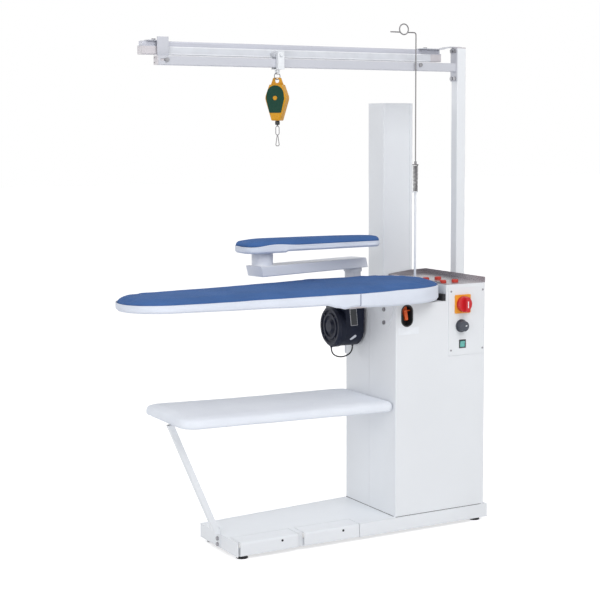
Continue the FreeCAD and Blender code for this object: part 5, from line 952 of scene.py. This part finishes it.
def make_fasteners():
    dark = ("grey_rubber", "grey_rubber")
    for side, screw in PEDAL_SCREWS.items():
        plate(f"pedal_screw_{side}", [screw], 1.5, on_front(LIP_FACE), *dark, f"pedal_{side}", 0.5)
    # A dark slab just proud of the cabinet's foot: painted shade for the join between cabinet and base
    plate("cabinet_shade_line", rounded(*CABINET_SHADE_LINE, 1.5), 1.5, lying, *dark, "stand")
    pale = ("trim_white", "nylon")
    # Painted highlights: pale strips on the lamp's front, for the lit ledge and over the shaded lower
    # rounding
    for name, z in LAMP_HIGHLIGHTS.items():
        highlight = rounded(*LAMP_HIGHLIGHT_X, z - LAMP_HIGHLIGHT_HALF, z + LAMP_HIGHLIGHT_HALF, 1)
        plate(f"lamp_highlight_{name}", highlight, 0.6, on_front(WORK_LAMP_FACE), *pale, "stand", 0.2)
    for name, pin in CAP_PINS.items():
        plate(f"cap_pin_{name}", [pin], 0.6, on_boom_end, *dark, "stand", 0.2)
    plate("switch_mark", rounded(*SWITCH_MARK, 1.5), 0.4, before("main_knob"), *pale, "main_switch", 0.1)
    plate("dial_mark", DIAL_MARK, 0.4, on_front(DIAL_FACE), *pale, "thermostat", 0.1)
    plate("switch_screw", [SWITCH_SCREW], 0.8, before("switch_plate"), *dark, "stand", 0.3)


make_cable()
make_board()
make_sleeve()
make_shelf()
make_spring()
make_cord()
make_labels()
make_fasteners()


# Floor, light and camera


def seen_directly(tree):
    """1 for rays from the camera or a reflection, 0 for the light that falls on the part."""
    ray = tree.nodes.new("ShaderNodeLightPath")
    seen = tree.nodes.new("ShaderNodeMath")
    seen.operation = "MAXIMUM"
    tree.links.new(ray.outputs["Is Camera Ray"], seen.inputs[0])
    tree.links.new(ray.outputs["Is Glossy Ray"], seen.inputs[1])
    return seen.outputs["Value"]


def make_floor():
    def build(work):
        bmesh.ops.create_grid(work, x_segments=2, y_segments=2, size=FLOOR_HALF)

    floor = bpy.data.objects.new("floor", mesh_of("floor", build))
    SCENE.collection.objects.link(floor)
    made = bpy.data.materials.new("floor")
    made.use_nodes = True
    tree = made.node_tree
    shader = tree.nodes["Principled BSDF"]
    shader.inputs["Roughness"].default_value = 0.9
    shader.inputs["Base Color"].default_value = FLOOR_COLOUR
    shader.inputs["Specular IOR Level"].default_value = 0.1
    shader.inputs["Emission Color"].default_value = (1, 1, 1, 1)
    glow = tree.nodes.new("ShaderNodeMath")
    glow.operation = "MULTIPLY"
    tree.links.new(seen_directly(tree), glow.inputs[0])
    glow.inputs[1].default_value = FLOOR_GLOW
    tree.links.new(glow.outputs["Value"], shader.inputs["Emission Strength"])
    floor.data.materials.append(made)


def make_world():
    world = bpy.data.worlds.new("studio")
    SCENE.world = world
    world.use_nodes = True
    tree = world.node_tree
    back = tree.nodes["Background"]
    back.inputs["Color"].default_value = (1, 1, 1, 1)
    strength = tree.nodes.new("ShaderNodeMapRange")
    strength.inputs["To Min"].default_value = AMBIENT
    strength.inputs["To Max"].default_value = 1.0
    tree.links.new(seen_directly(tree), strength.inputs["Value"])
    tree.links.new(strength.outputs["Result"], back.inputs["Strength"])


def make_lamp(name, place, aim, side, power):
    data = bpy.data.lights.new(name, "AREA")
    data.shape = "SQUARE"
    data.size = side
    data.energy = power
    lamp = bpy.data.objects.new(name, data)
    lamp.location = place
    lamp.rotation_euler = (Vector(aim) - Vector(place)).to_track_quat("-Z", "Y").to_euler()
    SCENE.collection.objects.link(lamp)


def make_camera():
    data = bpy.data.cameras.new("camera")
    data.lens = LENS
    data.sensor_width = SENSOR
    data.shift_x = SHIFT_X
    data.shift_y = SHIFT_Y
    camera = bpy.data.objects.new("camera", data)
    camera.location = CAMERA_AT
    camera.rotation_euler = CAMERA_TURN
    SCENE.collection.objects.link(camera)
    SCENE.camera = camera


make_floor()
make_world()
for lamp_name, settings in LAMPS.items():
    make_lamp(lamp_name, *settings)
make_camera()
SCENE.view_settings.view_transform = "Standard"
